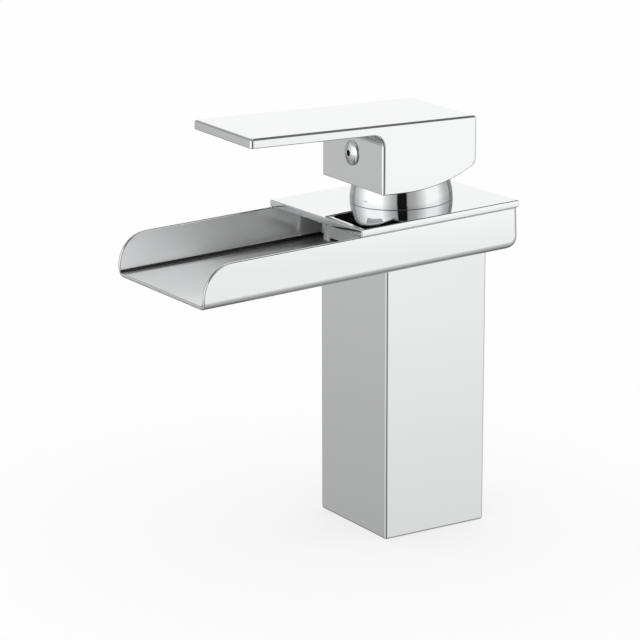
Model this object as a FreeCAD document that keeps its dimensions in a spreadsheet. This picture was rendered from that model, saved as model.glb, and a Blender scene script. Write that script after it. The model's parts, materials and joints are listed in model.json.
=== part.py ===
"""Waterfall basin faucet, in millimetres.

The column stands on the deck with the origin at the centre of its foot, +Z up and the
spout towards -Y. The valve seat lies on the column's centre line. Everything above it
(trough, cover plate, bonnet and cartridge) is square to one axis, which leans forward
by the fall of the trough. The lever is level at rest and a little off centre.
"""
import FreeCAD, Part
import math
import os
import re

import Sketcher

os.makedirs("parts", exist_ok=True)
document = FreeCAD.newDocument("waterfall_basin_faucet")

# ---------------------------------------------------------------- driving sizes
SIZES = [
    # column
    ("ColumnWidth", 50.0, "outside width of the square column"),
    ("ColumnWall", 2.5, "wall of the column"),
    ("ColumnCorner", 1.2, "radius on the column's upright edges"),
    ("ColumnInnerCorner", 1.0, "radius in the column's inner corners"),
    ("ColumnFootEdge", 1.0, "radius on the column's outer edge at the deck"),
    ("SeatHeight", 110.4, "valve seat above the deck, on the column's centre line"),
    ("FallAngle", 2.4, "fall of the spout and lean of the valve, degrees"),
    ("JointGap", 0.05, "gap of a brazed or pressed joint"),
    # spout and cover plate, measured square to the valve axis from the seat
    ("PlateTop", 28.0, "top of the cover plate above the seat"),
    ("PlateThickness", 3.0, "cover plate"),
    ("PlateFront", 42.7, "front edge of the cover plate from the valve axis"),
    ("PlateEdge", 0.3, "edge radius of the cover plate"),
    ("TroughWidth", 70.0, "outside width of the trough"),
    ("TroughHeight", 17.3, "outside height of the trough"),
    ("TroughRear", 35.0, "rear of the trough from the valve axis"),
    ("LipReach", 115.8, "front lip from the valve axis"),
    ("SheetThickness", 1.6, "sheet of the trough"),
    ("LipCurve", 14.0, "radius of the side walls down to the lip"),
    ("RearBend", 5.0, "bend at the foot of the rear wall"),
    ("FoldRadius", 3.5, "outer radius of the side folds"),
    ("OutletWidth", 44.6, "recess across the column's front wall, inside the trough"),
    ("OutletRecess", 1.4, "depth of that recess"),
    ("SlitInset", 2.3, "water slit, narrower than the recess by this at each end"),
    ("SlitHeight", 2.8, "height of the water slit at the foot of the recess"),
    ("SlitCorner", 1.2, "corner radius of the water slit"),
    ("OutletSill", 0.6, "outlet's lower edge above the trough floor"),
    ("OutletLand", 2.0, "column left above the recess"),
    ("OutletCorner", 1.0, "corner radius of the recess"),
    # foot
    ("PlugHeight", 18.0, "base plug"),
    ("HoseThreadRadius", 4.5, "core of the M10 x 1 hose thread"),
    ("HoseThreadDepth", 11.0, "hose thread"),
    ("StudRadius", 3.4, "core of the M8 stud thread"),
    ("StudDepth", 12.0, "stud thread"),
    ("StudBack", 9.5, "stud hole behind the column's centre"),
    ("SealMargin", 1.1, "foot's seal groove inside the column's wall"),
    ("SealBand", 2.8, "width of the foot's seal groove"),
    ("SealDepth", 2.2, "depth of the foot's seal groove"),
    # feed tubes and water chamber
    ("TubeRadius", 5.0, "outside radius of a feed tube"),
    ("TubeBore", 4.0, "inside radius of a feed tube"),
    ("TubeSocket", 4.0, "depth of a tube's socket"),
    ("TubeBend", 40.0, "bend radius of a tube's centre line"),
    ("BendDepth", 8.0, "bend below the seat, along the valve axis"),
    ("InletSpread", 6.8, "inlet from the middle, to each side"),
    ("InletBack", 6.0, "inlets in front of the valve axis"),
    ("ChamberDepth", 8.0, "water chamber below the valve housing"),
    ("ChamberPlate", 3.0, "floor of the water chamber"),
    # valve housing and its nut
    ("HousingRadius", 20.0, "valve housing"),
    ("HousingFloor", 5.5, "floor under the seat"),
    ("FlangeRadius", 21.2, "flange under the cover plate"),
    ("FlangeThickness", 2.5, "flange under the cover plate"),
    ("NeckRadius", 19.85, "threaded neck through the cover plate"),
    ("NeckRise", 2.5, "neck above the cover plate"),
    ("PortRadius", 3.6, "inlet port in the seat"),
    ("OutletPort", 5.0, "radius of the outlet port in the seat"),
    ("OutletBack", 7.0, "outlet port behind the valve axis"),
    ("PegRadius", 1.5, "cartridge's locating pegs"),
    ("PegSpread", 12.5, "locating peg from the middle"),
    ("PegBack", 4.0, "locating pegs behind the valve axis"),
    ("PegLength", 1.6, "locating peg below the seat"),
    ("PegGap", 0.1, "clearance round and under a peg"),
    ("CartridgeGap", 0.15, "clearance round the cartridge"),
    ("NutBore", 18.5, "threaded bore for the retaining nut"),
    ("NutHeight", 8.0, "retaining nut"),
    ("NutMouth", 12.5, "inner radius of the retaining nut"),
    ("NutNotch", 4.0, "width of a wrench notch"),
    ("NutNotchDepth", 2.5, "depth of a wrench notch"),
    # bonnet
    ("BonnetRadius", 21.6, "bonnet at the cover plate"),
    ("BarrelRadius", 29.0, "curve of the bonnet's side"),
    ("BarrelRise", 9.0, "height at which the side turns over"),
    ("CrownRadius", 9.0, "curve of the bonnet's shoulder"),
    ("BonnetWall", 1.1, "bonnet"),
    ("BonnetMouth", 14.5, "radius of the opening round the stem"),
    ("SkirtHeight", 3.5, "threaded skirt of the bonnet"),
    # cartridge, heights above the seat
    ("CartridgeRadius", 17.5, "cartridge, a 35 mm size"),
    ("CartridgeFoot", 0.4, "gap under the cartridge, taken by its seals"),
    ("BaseFlangeTop", 4.4, "top of the cartridge base's flange"),
    ("BaseTop", 6.9, "top of the cartridge base"),
    ("ShoulderHeight", 23.0, "shoulder that the nut presses on"),
    ("CollarRadius", 12.2, "cartridge collar"),
    ("CollarTop", 35.0, "top of the collar"),
    ("CavityRadius", 15.3, "inside of the cartridge"),
    ("CavityTop", 20.5, "ceiling of the cartridge"),
    ("GuideBore", 9.9, "bore of the collar"),
    ("SealWidth", 1.3, "width of a port seal"),
    ("BaseSealSink", 1.4, "recess of the seals under the base"),
    ("DiscSealSink", 1.2, "recess of the seals under the fixed disc"),
    ("DiscPortSpread", 5.4, "inlet port of the discs from the middle"),
    ("DiscPortBack", 4.6, "inlet ports of the discs in front of the valve axis"),
    ("DiscPortRadius", 2.8, "inlet port of the discs"),
    ("DiscOutletBack", 5.0, "outlet port of the discs behind the valve axis"),
    ("DiscOutletRadius", 4.0, "outlet port of the discs"),
    ("FixedDiscRadius", 14.0, "fixed ceramic disc"),
    ("FixedDiscThickness", 3.5, "fixed ceramic disc"),
    ("DiscFilm", 0.05, "grease film between the discs"),
    ("MovingDiscRadius", 12.0, "moving ceramic disc"),
    ("MovingDiscThickness", 3.95, "moving ceramic disc"),
    ("MixWidth", 8.2, "width of the mixing hollow, inside the ring of inlet ports"),
    ("MixCorner", 3.9, "corner radius of the mixing hollow"),
    ("MixRear", 6.0, "mixing hollow behind the disc's middle"),
    ("MixDepth", 2.2, "depth of the mixing hollow"),
    ("DrivePegRadius", 1.3, "pegs that drive the moving disc"),
    ("DrivePegSpread", 9.6, "driving peg from the middle"),
    ("DrivePegLength", 1.4, "driving peg"),
    ("CarrierPlate", 1.7, "plate of the disc carrier"),
    ("CarrierWidth", 12.4, "block of the disc carrier, across"),
    ("CarrierLength", 10.0, "block of the disc carrier, front to back"),
    ("CarrierBlock", 4.0, "height of the carrier's block"),
    ("SlotFloor", 1.3, "carrier left under the ball slot"),
    # stem guide, pin and stem
    ("GuideRadius", 9.82, "stem guide in the collar"),
    ("GuideTop", 34.5, "top of the stem guide above the seat"),
    ("GuideFlangeRadius", 14.8, "flange of the stem guide"),
    ("GuideFlangeFoot", 16.5, "foot of the flange above the seat"),
    ("GuideFlangeTop", 20.3, "top of the flange above the seat"),
    ("RingGrooveFoot", 32.0, "groove of the O-ring above the seat"),
    ("RingGrooveHeight", 1.6, "groove of the O-ring"),
    ("RingGrooveRadius", 8.5, "floor of the O-ring's groove"),
    ("SlideGap", 0.2, "clearance of flat sliding faces"),
    ("PivotRise", 30.0, "pivot pin above the seat"),
    ("PinRadius", 1.5, "pivot pin"),
    ("PinLength", 18.4, "pivot pin"),
    ("PinFit", 0.05, "running fit on the pivot pin"),
    ("StemSquare", 8.0, "square of the stem"),
    ("StemTop", 28.5, "top of the stem above the pivot"),
    ("StemHub", 4.9, "radius of the stem round its pin"),
    ("StemArm", 11.0, "pivot to the centre of the ball"),
    ("StemNeck", 4.4, "thickness of the lower arm"),
    ("BallRadius", 2.9, "ball on the lower arm"),
    ("BallGap", 0.15, "clearance of the ball in its slot"),
    ("LiftAngle", 22.0, "travel of the lever from closed to full flow, degrees"),
    ("RestTurn", -3.0, "turn of the closed lever about the valve axis, degrees"),
    # handle, measured from the pivot with the lever level
    ("HandleTop", 35.0, "top of the lever above the pivot"),
    ("HandleWidth", 50.0, "lever and block"),
    ("HandleTip", 83.5, "tip of the lever in front of the pivot"),
    ("HandleRear", 21.05, "rear of the block behind the pivot"),
    ("LeverThickness", 4.0, "flat lever plate"),
    ("BlockFront", 23.55, "front of the block ahead of the pivot"),
    ("BlockDepth", 28.9, "block's foot below the lever's top"),
    ("BlockArcStart", 12.7, "start of the block's curved underside, ahead of the pivot"),
    ("BlockArc", 66.0, "radius of the block's underside"),
    ("BlockFillet", 5.0, "hollow fillet between block and lever plate"),
    ("BlockHeel", 1.8, "edge radius at the block's rear foot"),
    ("HandleEdge", 0.8, "edge radius of the lever"),
    ("SideWall", 2.4, "side and rear walls of the block"),
    ("FrontWall", 2.2, "front wall of the block"),
    ("CavityCorner", 3.0, "corner radius inside the block"),
    ("BossRadius", 7.0, "boss round the stem"),
    ("BossFoot", 15.6, "foot of the boss above the pivot"),
    ("SocketGap", 0.05, "clearance of the square socket on the stem"),
    ("SocketCrown", 0.5, "room above the stem in its socket"),
    ("ScrewDrop", 15.4, "handle screw below the lever's top"),
    ("ScrewRadius", 2.5, "handle screw, M5"),
    ("HeadRadius", 5.25, "head of the handle screw"),
    ("HeadHeight", 2.0, "head of the handle screw"),
    ("HeadRim", 0.4, "straight rim of the screw's head"),
    ("HexFlats", 3.0, "hexagon socket across its flats"),
    ("HexDepth", 1.5, "depth of the hexagon socket"),
]

sheet = document.addObject("Spreadsheet::Sheet", "Sizes")
for row, (alias, value, meaning) in enumerate(SIZES, start=1):
    sheet.set("A%d" % row, alias)
    sheet.set("B%d" % row, str(value))
    sheet.setAlias("B%d" % row, alias)
    sheet.set("C%d" % row, meaning)
document.recompute()

X_AXIS = FreeCAD.Vector(1, 0, 0)
Y_AXIS = FreeCAD.Vector(0, 1, 0)
Z_AXIS = FreeCAD.Vector(0, 0, 1)

# ------------------------------------------------------- places used more than once
PLATE_FOOT = "(PlateTop - PlateThickness)"
TROUGH_FOOT = "(PlateTop - PlateThickness - TroughHeight)"
COLUMN_INSIDE = "(ColumnWidth / 2 - ColumnWall)"
SEAL_OUTER = "(ColumnWidth / 2 - ColumnWall - SealMargin)"
SEAL_INNER = "(ColumnWidth / 2 - ColumnWall - SealMargin - SealBand)"
TUBE_Y = "(BendDepth * sin(FallAngle) - InletBack * cos(FallAngle))"
BEND_Z = "(SeatHeight - InletBack * sin(FallAngle) - BendDepth * cos(FallAngle))"
BEND_RUN = "(TubeBend * tan(FallAngle / 2))"
DISC_FOOT = "(BaseTop + FixedDiscThickness + DiscFilm)"
CARRIER_FOOT = "(BaseTop + FixedDiscThickness + DiscFilm + MovingDiscThickness)"
DISC_TRAVEL = "(StemArm * (sin(LiftAngle + FallAngle) - sin(FallAngle)))"
BALL_Y = "(-StemArm * (sin(LiftAngle + FallAngle) + sin(FallAngle)) / 2)"


def size(name):
    """A driving size as a number."""
    return float(sheet.get(name))


def linked(formula):
    """The formula with the name of each size turned into a link to its cell."""
    return re.sub(r"[A-Z][a-z]\w*", lambda word: "Sizes." + word.group(), formula)


# ------------------------------------------------------------------ drawing helpers
def new_body(label):
    """A body of the document, for one piece."""
    body = document.addObject("PartDesign::Body", label)
    body.Label = label
    body.AllowCompound = True
    return body


def new_sketch(body, plane, offset=None, turn=None):
    """A sketch on one of the body's own planes, shifted and turned by formulas."""
    sketch = body.newObject("Sketcher::SketchObject", body.Label + "_sketch")
    support = [item for item in body.Origin.OriginFeatures if item.Role == plane][0]
    sketch.AttachmentSupport = [(support, "")]
    sketch.MapMode = "FlatFace"
    if turn:
        axis, angle = turn
        sketch.AttachmentOffset = FreeCAD.Placement(FreeCAD.Vector(), FreeCAD.Rotation(axis, 1))
        sketch.setExpression("AttachmentOffset.Rotation.Angle", linked(angle))
    for direction, formula in (offset or {}).items():
        sketch.setExpression("AttachmentOffset.Base." + direction, linked(formula))
    return sketch


def dimension(sketch, kind, points, formula):
    """A dimension driven by a formula."""
    index = sketch.addConstraint(Sketcher.Constraint(kind, *points, 1.0))
    sketch.setExpression("Constraints[%d]" % index, linked(formula))


def mark(sketch, number, across, up):
    """A construction point at a pair of formulas from the sketch's origin."""
    start = FreeCAD.Vector(number, number * number, 0)
    point = sketch.addGeometry(Part.Point(start), True)
    dimension(sketch, "DistanceX", (-1, 1, point, 1), across)
    dimension(sketch, "DistanceY", (-1, 1, point, 1), up)
    return point


def arc_between(start, end, radius, side):
    """The short arc from start to end whose centre is on the given side of its way."""
    chord = end - start
    left = FreeCAD.Vector(-chord.y, chord.x, 0).normalize()
    rise = math.sqrt(radius**2 - (chord.Length / 2) ** 2)
    centre = (start + end) * 0.5 + left * (rise if side == "left" else -rise)
    if side == "right":
        start, end = end, start
    angles = [math.atan2(point.y - centre.y, point.x - centre.x) for point in (start, end)]
    return Part.ArcOfCircle(Part.Circle(centre, Z_AXIS, radius), *angles)


def route(sketch, corners, bends=None, closed=True):
    """Lines and arcs through corners given as pairs of formulas.

    bends maps the number of a side to the formula of its radius and to the side,
    left or right of its way, on which its centre lies.
    """
    bends = bends or {}
    marks = [mark(sketch, number, *corner) for number, corner in enumerate(corners)]
    gauges = {}
    for number, (radius, side) in bends.items():
        gauges[number] = sketch.addGeometry(Part.Circle(FreeCAD.Vector(), Z_AXIS, 1), True)
        sketch.addConstraint(Sketcher.Constraint("Coincident", gauges[number], 3, -1, 1))
        dimension(sketch, "Radius", (gauges[number],), radius)
    document.recompute()
    places = [sketch.getPoint(point, 1) for point in marks]
    last = len(corners) if closed else len(corners) - 1
    for number in range(last):
        following = (number + 1) % len(corners)
        ends = [(1, marks[number]), (2, marks[following])]
        if number in bends:
            radius = sketch.Geometry[gauges[number]].Radius
            side = bends[number][1]
            if side == "right":
                ends = [(2, marks[number]), (1, marks[following])]
            shape = arc_between(places[number], places[following], radius, side)
        else:
            shape = Part.LineSegment(places[number], places[following])
        edge = sketch.addGeometry(shape, False)
        for end, point in ends:
            sketch.addConstraint(Sketcher.Constraint("Coincident", edge, end, point, 1))
        if number in bends:
            sketch.addConstraint(Sketcher.Constraint("Equal", edge, gauges[number]))


def rectangle(sketch, left, right, low, high):
    """A rectangle between two formulas across and two up."""
    route(sketch, [(left, low), (right, low), (right, high), (left, high)])


def middle_rectangle(sketch, half_across, half_up):
    """A rectangle about the sketch's origin."""
    rectangle(sketch, "-" + half_across, half_across, "-" + half_up, half_up)


def circle(sketch, across, up, radius):
    """A circle at a pair of formulas."""
    ring = sketch.addGeometry(Part.Circle(FreeCAD.Vector(1, 1, 0), Z_AXIS, 1), False)
    dimension(sketch, "DistanceX", (-1, 1, ring, 3), across)
    dimension(sketch, "DistanceY", (-1, 1, ring, 3), up)
    dimension(sketch, "Radius", (ring,), radius)


def pair(sketch, spread, up, radius):
    """Two like circles, one to each side."""
    circle(sketch, spread, up, radius)
    circle(sketch, "-" + spread, up, radius)


# ------------------------------------------------------------------ feature helpers
def extrude(kind, body, sketch, length, both, back):
    feature = body.newObject("PartDesign::" + kind, body.Label + "_" + kind.lower())
    feature.Profile = sketch
    feature.setExpression("Length", linked(length))
    feature.Reversed = back
    if both:
        feature.SideType = "Symmetric"
    document.recompute()
    return feature


def pad(body, sketch, length, both=False, back=False):
    """Material along the sketch's normal, or on both sides, or backwards."""
    return extrude("Pad", body, sketch, length, both, back)


def pocket(body, sketch, length, both=False, back=False):
    """A cut against the sketch's normal, or on both sides, or along the normal."""
    before = body.Shape.Volume
    feature = extrude("Pocket", body, sketch, length, both, back)
    if body.Shape.Volume > before - 1e-6:
        raise RuntimeError(body.Label + ": a pocket cuts nothing")
    return feature


def revolve(body, sketch, axis="V_Axis"):
    """Material turned right round one of the sketch's axes."""
    feature = body.newObject("PartDesign::Revolution", body.Label + "_revolution")
    feature.Profile = sketch
    feature.ReferenceAxis = (sketch, [axis])
    feature.Angle = 360
    document.recompute()
    return feature


def groove(body, sketch, axis="V_Axis"):
    """A cut turned right round one of the sketch's axes."""
    before = body.Shape.Volume
    feature = body.newObject("PartDesign::Groove", body.Label + "_groove")
    feature.Profile = sketch
    feature.ReferenceAxis = (sketch, [axis])
    feature.Angle = 360
    document.recompute()
    if body.Shape.Volume > before - 1e-6:
        raise RuntimeError(body.Label + ": a groove cuts nothing")
    return feature


def fillet(body, radius, chosen):
    """Round the edges that the test chosen picks out of the body's last shape."""
    base = body.Tip
    names = []
    for number, edge in enumerate(base.Shape.Edges, start=1):
        if chosen(edge):
            names.append("Edge%d" % number)
    if not names:
        raise RuntimeError(body.Label + ": no edge to round")
    feature = body.newObject("PartDesign::Fillet", body.Label + "_fillet")
    feature.Base = (base, names)
    feature.setExpression("Radius", linked(radius))
    document.recompute()
    return feature


def runs_along(edge, axis):
    """Whether a straight edge runs along an axis of its body."""
    if edge.Degenerated or not isinstance(edge.Curve, (Part.Line, Part.LineSegment)):
        return False
    way = (edge.Vertexes[-1].Point - edge.Vertexes[0].Point).normalize()
    return abs(abs(way.dot(axis)) - 1) < 1e-6


def middle(edge):
    """The middle of an edge's box."""
    return edge.BoundBox.Center


# ------------------------------------------------------------------ column and foot
def column_shell():
    body = new_body("column_shell")
    outside = new_sketch(body, "XY_Plane")
    middle_rectangle(outside, "ColumnWidth / 2", "ColumnWidth / 2")
    pad(body, outside, "SeatHeight + PlateTop + ColumnWidth / 2")
    fillet(body, "ColumnCorner", lambda edge: runs_along(edge, Z_AXIS))
    fillet(body, "ColumnFootEdge", lambda edge: edge.BoundBox.ZMax < 0.01)

    inside = new_sketch(body, "XY_Plane")
    middle_rectangle(inside, COLUMN_INSIDE, COLUMN_INSIDE)
    pocket(body, inside, "SeatHeight + PlateTop + ColumnWidth", back=True)
    wall = size("ColumnWidth") / 2 - size("ColumnWall") / 2

    def inner_corner(edge):
        return runs_along(edge, Z_AXIS) and max(abs(middle(edge).x), abs(middle(edge).y)) < wall

    fillet(body, "ColumnInnerCorner", inner_corner)

    # the top is cut square to the valve axis, where the cover plate lies on it
    above = new_sketch(body, "YZ_Plane", {"y": "SeatHeight"}, (Z_AXIS, "FallAngle"))
    rectangle(above, "-ColumnWidth", "ColumnWidth", PLATE_FOOT, "PlateTop + 2 * ColumnWidth")
    pocket(body, above, "2 * ColumnWidth", both=True)

    # the water outlet: a recess across the front, with a slit just above the trough floor
    before_front = {"z": "ColumnWidth / 2 + ColumnWall"}
    recess = new_sketch(body, "XZ_Plane", before_front)
    face_drop = "(ColumnWidth / 2 * tan(FallAngle))"
    floor_rise = "(%s + SheetThickness) / cos(FallAngle)" % TROUGH_FOOT
    low = "SeatHeight + %s - %s + OutletSill" % (floor_rise, face_drop)
    high = "SeatHeight + %s / cos(FallAngle) - %s - OutletLand" % (PLATE_FOOT, face_drop)
    rectangle(recess, "-OutletWidth / 2", "OutletWidth / 2", low, high)
    pocket(body, recess, "ColumnWall + OutletRecess")
    slit = new_sketch(body, "XZ_Plane", before_front)
    slit_half = "(OutletWidth / 2 - SlitInset)"
    rectangle(slit, "-" + slit_half, slit_half, low, low + " + SlitHeight")
    pocket(body, slit, "3 * ColumnWall")
    round_outlet(body, "OutletCorner", size("OutletWidth") / 2)
    round_outlet(body, "SlitCorner", size("OutletWidth") / 2 - size("SlitInset"))
    return body


def round_outlet(body, radius, half_width):
    """Round the corners of the outlet's recess, or of its slit, seen from the front."""
    front = -size("ColumnWidth") / 2 + size("ColumnWall")

    def corner(edge):
        place = middle(edge)
        in_wall = place.y < front and place.z > size("SeatHeight")
        return runs_along(edge, Y_AXIS) and in_wall and abs(abs(place.x) - half_width) < 0.01

    fillet(body, radius, corner)


def base_plug():
    body = new_body("base_plug")
    outside = new_sketch(body, "XY_Plane")
    inside = "(%s - JointGap)" % COLUMN_INSIDE
    middle_rectangle(outside, inside, inside)
    pad(body, outside, "PlugHeight")
    fillet(body, "ColumnInnerCorner", lambda edge: runs_along(edge, Z_AXIS))

    threads = new_sketch(body, "XY_Plane")
    pair(threads, "InletSpread", TUBE_Y, "HoseThreadRadius")
    pocket(body, threads, "HoseThreadDepth", back=True)
    ways = new_sketch(body, "XY_Plane")
    pair(ways, "InletSpread", TUBE_Y, "TubeBore")
    pocket(body, ways, "PlugHeight", back=True)
    sockets = new_sketch(body, "XY_Plane", {"z": "PlugHeight"})
    pair(sockets, "InletSpread", TUBE_Y, "TubeRadius + JointGap")
    pocket(body, sockets, "TubeSocket")
    stud = new_sketch(body, "XY_Plane")
    circle(stud, "0", "StudBack", "StudRadius")
    pocket(body, stud, "StudDepth", back=True)

    seat = new_sketch(body, "XY_Plane")
    circle(seat, "0", "0", SEAL_INNER)
    circle(seat, "0", "0", SEAL_OUTER)
    pocket(body, seat, "SealDepth", back=True)
    return body


def base_seal():
    body = new_body("base_seal")
    ring = new_sketch(body, "XY_Plane")
    circle(ring, "0", "0", SEAL_INNER + " + JointGap")
    circle(ring, "0", "0", SEAL_OUTER + " - JointGap")
    pad(body, ring, "SealDepth")
    return body


def chamber_floor():
    body = new_body("chamber_floor")
    foot = "SeatHeight - HousingFloor - ChamberDepth - ChamberPlate"
    plate = new_sketch(body, "XY_Plane", {"z": foot})
    inside = "(%s - JointGap)" % COLUMN_INSIDE
    middle_rectangle(plate, inside, inside)
    pad(body, plate, "ChamberPlate")
    fillet(body, "ColumnInnerCorner", lambda edge: runs_along(edge, Z_AXIS))
    holes = new_sketch(body, "XY_Plane", {"z": foot})
    pair(holes, "InletSpread", TUBE_Y, "TubeRadius + JointGap")
    pocket(body, holes, "ChamberPlate", back=True)
    return body


def feed_tube(label, side):
    """A tube from the plug to the housing, upright and then along the valve axis."""
    body = new_body(label)
    spread = side + "InletSpread"
    foot = "PlugHeight - TubeSocket"
    way = new_sketch(body, "YZ_Plane", {"z": spread})
    reach = "(HousingFloor - TubeSocket)"
    corners = [
        (TUBE_Y, foot),
        (TUBE_Y, "%s - %s" % (BEND_Z, BEND_RUN)),
        (
            "%s - %s * sin(FallAngle)" % (TUBE_Y, BEND_RUN),
            "%s + %s * cos(FallAngle)" % (BEND_Z, BEND_RUN),
        ),
        (
            "%s * sin(FallAngle) - InletBack * cos(FallAngle)" % reach,
            "SeatHeight - InletBack * sin(FallAngle) - %s * cos(FallAngle)" % reach,
        ),
    ]
    route(way, corners, {1: ("TubeBend", "left")}, closed=False)
    section = new_sketch(body, "XY_Plane", {"z": foot})
    circle(section, spread, TUBE_Y, "TubeRadius")
    circle(section, spread, TUBE_Y, "TubeBore")
    pipe = body.newObject("PartDesign::AdditivePipe", label + "_pipe")
    pipe.Profile = section
    pipe.Spine = (way, [])
    document.recompute()
    return body


# --------------------------------------------------------------- spout and top plate
def spout_trough():
    body = new_body("spout_trough")
    side = new_sketch(body, "YZ_Plane")
    rectangle(side, "-LipReach", "TroughRear", TROUGH_FOOT, PLATE_FOOT)
    pad(body, side, "TroughWidth", both=True)
    rear = size("TroughRear") - 0.01
    foot = size("PlateTop") - size("PlateThickness") - size("TroughHeight") + 0.01
    lip = -size("LipReach") + 0.01
    fillet(body, "RearBend", lambda edge: middle(edge).y > rear and middle(edge).z < foot)

    def lip_top(edge):
        return runs_along(edge, X_AXIS) and middle(edge).y < lip and middle(edge).z > foot

    fillet(body, "LipCurve", lip_top)

    # the fold runs along each side, round the rear bend and up the rear corners
    half = size("TroughWidth") / 2 - 0.01
    bend = size("TroughRear") - size("RearBend") - 0.01
    rim = size("PlateTop") - size("PlateThickness")

    def on_fold(edge):
        box = edge.BoundBox
        if abs(middle(edge).x) < half:
            return False
        return box.ZMax < foot or (box.YMin > bend and box.ZMin < rim - 0.01)

    fillet(body, "FoldRadius", on_fold)

    # the sheet is open at the top and at the lip
    lip_back = -size("LipReach") + size("LipCurve") + 0.01
    base = body.Tip
    names = []
    for number, face in enumerate(base.Shape.Faces, start=1):
        box = face.BoundBox
        if box.ZMin > rim - 0.01 or box.YMax < lip_back:
            names.append("Face%d" % number)
    sheet_metal = body.newObject("PartDesign::Thickness", "spout_trough_thickness")
    sheet_metal.Base = (base, names)
    sheet_metal.setExpression("Value", linked("SheetThickness"))
    sheet_metal.Reversed = True
    document.recompute()

    # the column passes upright through the leaning floor
    column = new_sketch(body, "XY_Plane", turn=(FreeCAD.Vector(-1, 0, 0), "FallAngle"))
    middle_rectangle(column, "(ColumnWidth / 2 + JointGap)", "(ColumnWidth / 2 + JointGap)")
    pocket(body, column, "3 * TroughHeight", both=True)
    inside = size("ColumnWidth") / 2 + 1
    fillet(
        body,
        "ColumnCorner",
        lambda edge: edge.Length < 1.5 * size("SheetThickness")
        and abs(abs(middle(edge).x) - inside) < 1.01
        and abs(middle(edge).y) < inside + 1
        and middle(edge).z < foot + size("SheetThickness")
        and abs(edge.tangentAt(edge.FirstParameter).z) > 0.9,
    )
    return body


def cover_plate():
    body = new_body("cover_plate")
    slab = new_sketch(body, "XY_Plane", {"z": PLATE_FOOT})
    rectangle(slab, "-TroughWidth / 2", "TroughWidth / 2", "-PlateFront", "TroughRear")
    circle(slab, "0", "0", "NeckRadius + JointGap")
    pad(body, slab, "PlateThickness")
    top = size("PlateTop") - 0.01
    fillet(
        body,
        "PlateEdge",
        lambda edge: isinstance(edge.Curve, Part.Line) and edge.BoundBox.ZMin > top,
    )
    return body


# -------------------------------------------------------------- housing, nut, bonnet
def valve_housing():
    body = new_body("valve_housing")
    wall = new_sketch(body, "XZ_Plane")
    corners = [
        ("0", "-HousingFloor"),
        ("HousingRadius", "-HousingFloor"),
        ("HousingRadius", PLATE_FOOT + " - FlangeThickness"),
        ("FlangeRadius", PLATE_FOOT + " - FlangeThickness"),
        ("FlangeRadius", PLATE_FOOT),
        ("NeckRadius", PLATE_FOOT),
        ("NeckRadius", "PlateTop + NeckRise"),
        ("NutBore", "PlateTop + NeckRise"),
        ("NutBore", "ShoulderHeight - CartridgeGap"),
        ("CartridgeRadius + CartridgeGap", "ShoulderHeight - CartridgeGap"),
        ("CartridgeRadius + CartridgeGap", "0"),
        ("0", "0"),
    ]
    route(wall, corners)
    revolve(body, wall)
    ports = new_sketch(body, "XY_Plane")
    pair(ports, "InletSpread", "-InletBack", "PortRadius")
    circle(ports, "0", "OutletBack", "OutletPort")
    pocket(body, ports, "HousingFloor")
    sockets = new_sketch(body, "XY_Plane", {"z": "-HousingFloor"})
    pair(sockets, "InletSpread", "-InletBack", "TubeRadius + JointGap")
    pocket(body, sockets, "TubeSocket", back=True)
    pegs = new_sketch(body, "XY_Plane")
    pair(pegs, "PegSpread", "PegBack", "PegRadius + PegGap")
    pocket(body, pegs, "PegLength + PegGap")
    return body


def retaining_nut():
    body = new_body("retaining_nut")
    ring = new_sketch(body, "XY_Plane", {"z": "ShoulderHeight"})
    circle(ring, "0", "0", "NutBore - JointGap")
    circle(ring, "0", "0", "NutMouth")
    pad(body, ring, "NutHeight")
    notch = new_sketch(body, "XY_Plane", {"z": "ShoulderHeight + NutHeight"})
    rectangle(notch, "NutMouth - 1", "NutBore + 1", "-NutNotch / 2", "NutNotch / 2")
    cut = pocket(body, notch, "NutNotchDepth")
    before = body.Shape.Volume
    pattern = body.newObject("PartDesign::PolarPattern", "retaining_nut_notches")
    pattern.Originals = [cut]
    pattern.Axis = (notch, ["N_Axis"])
    pattern.Angle = 360
    pattern.Occurrences = 6
    body.Tip = pattern
    document.recompute()
    if body.Shape.Volume > before - 1e-6:
        raise RuntimeError("retaining_nut: the notches are missing")
    return body


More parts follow.
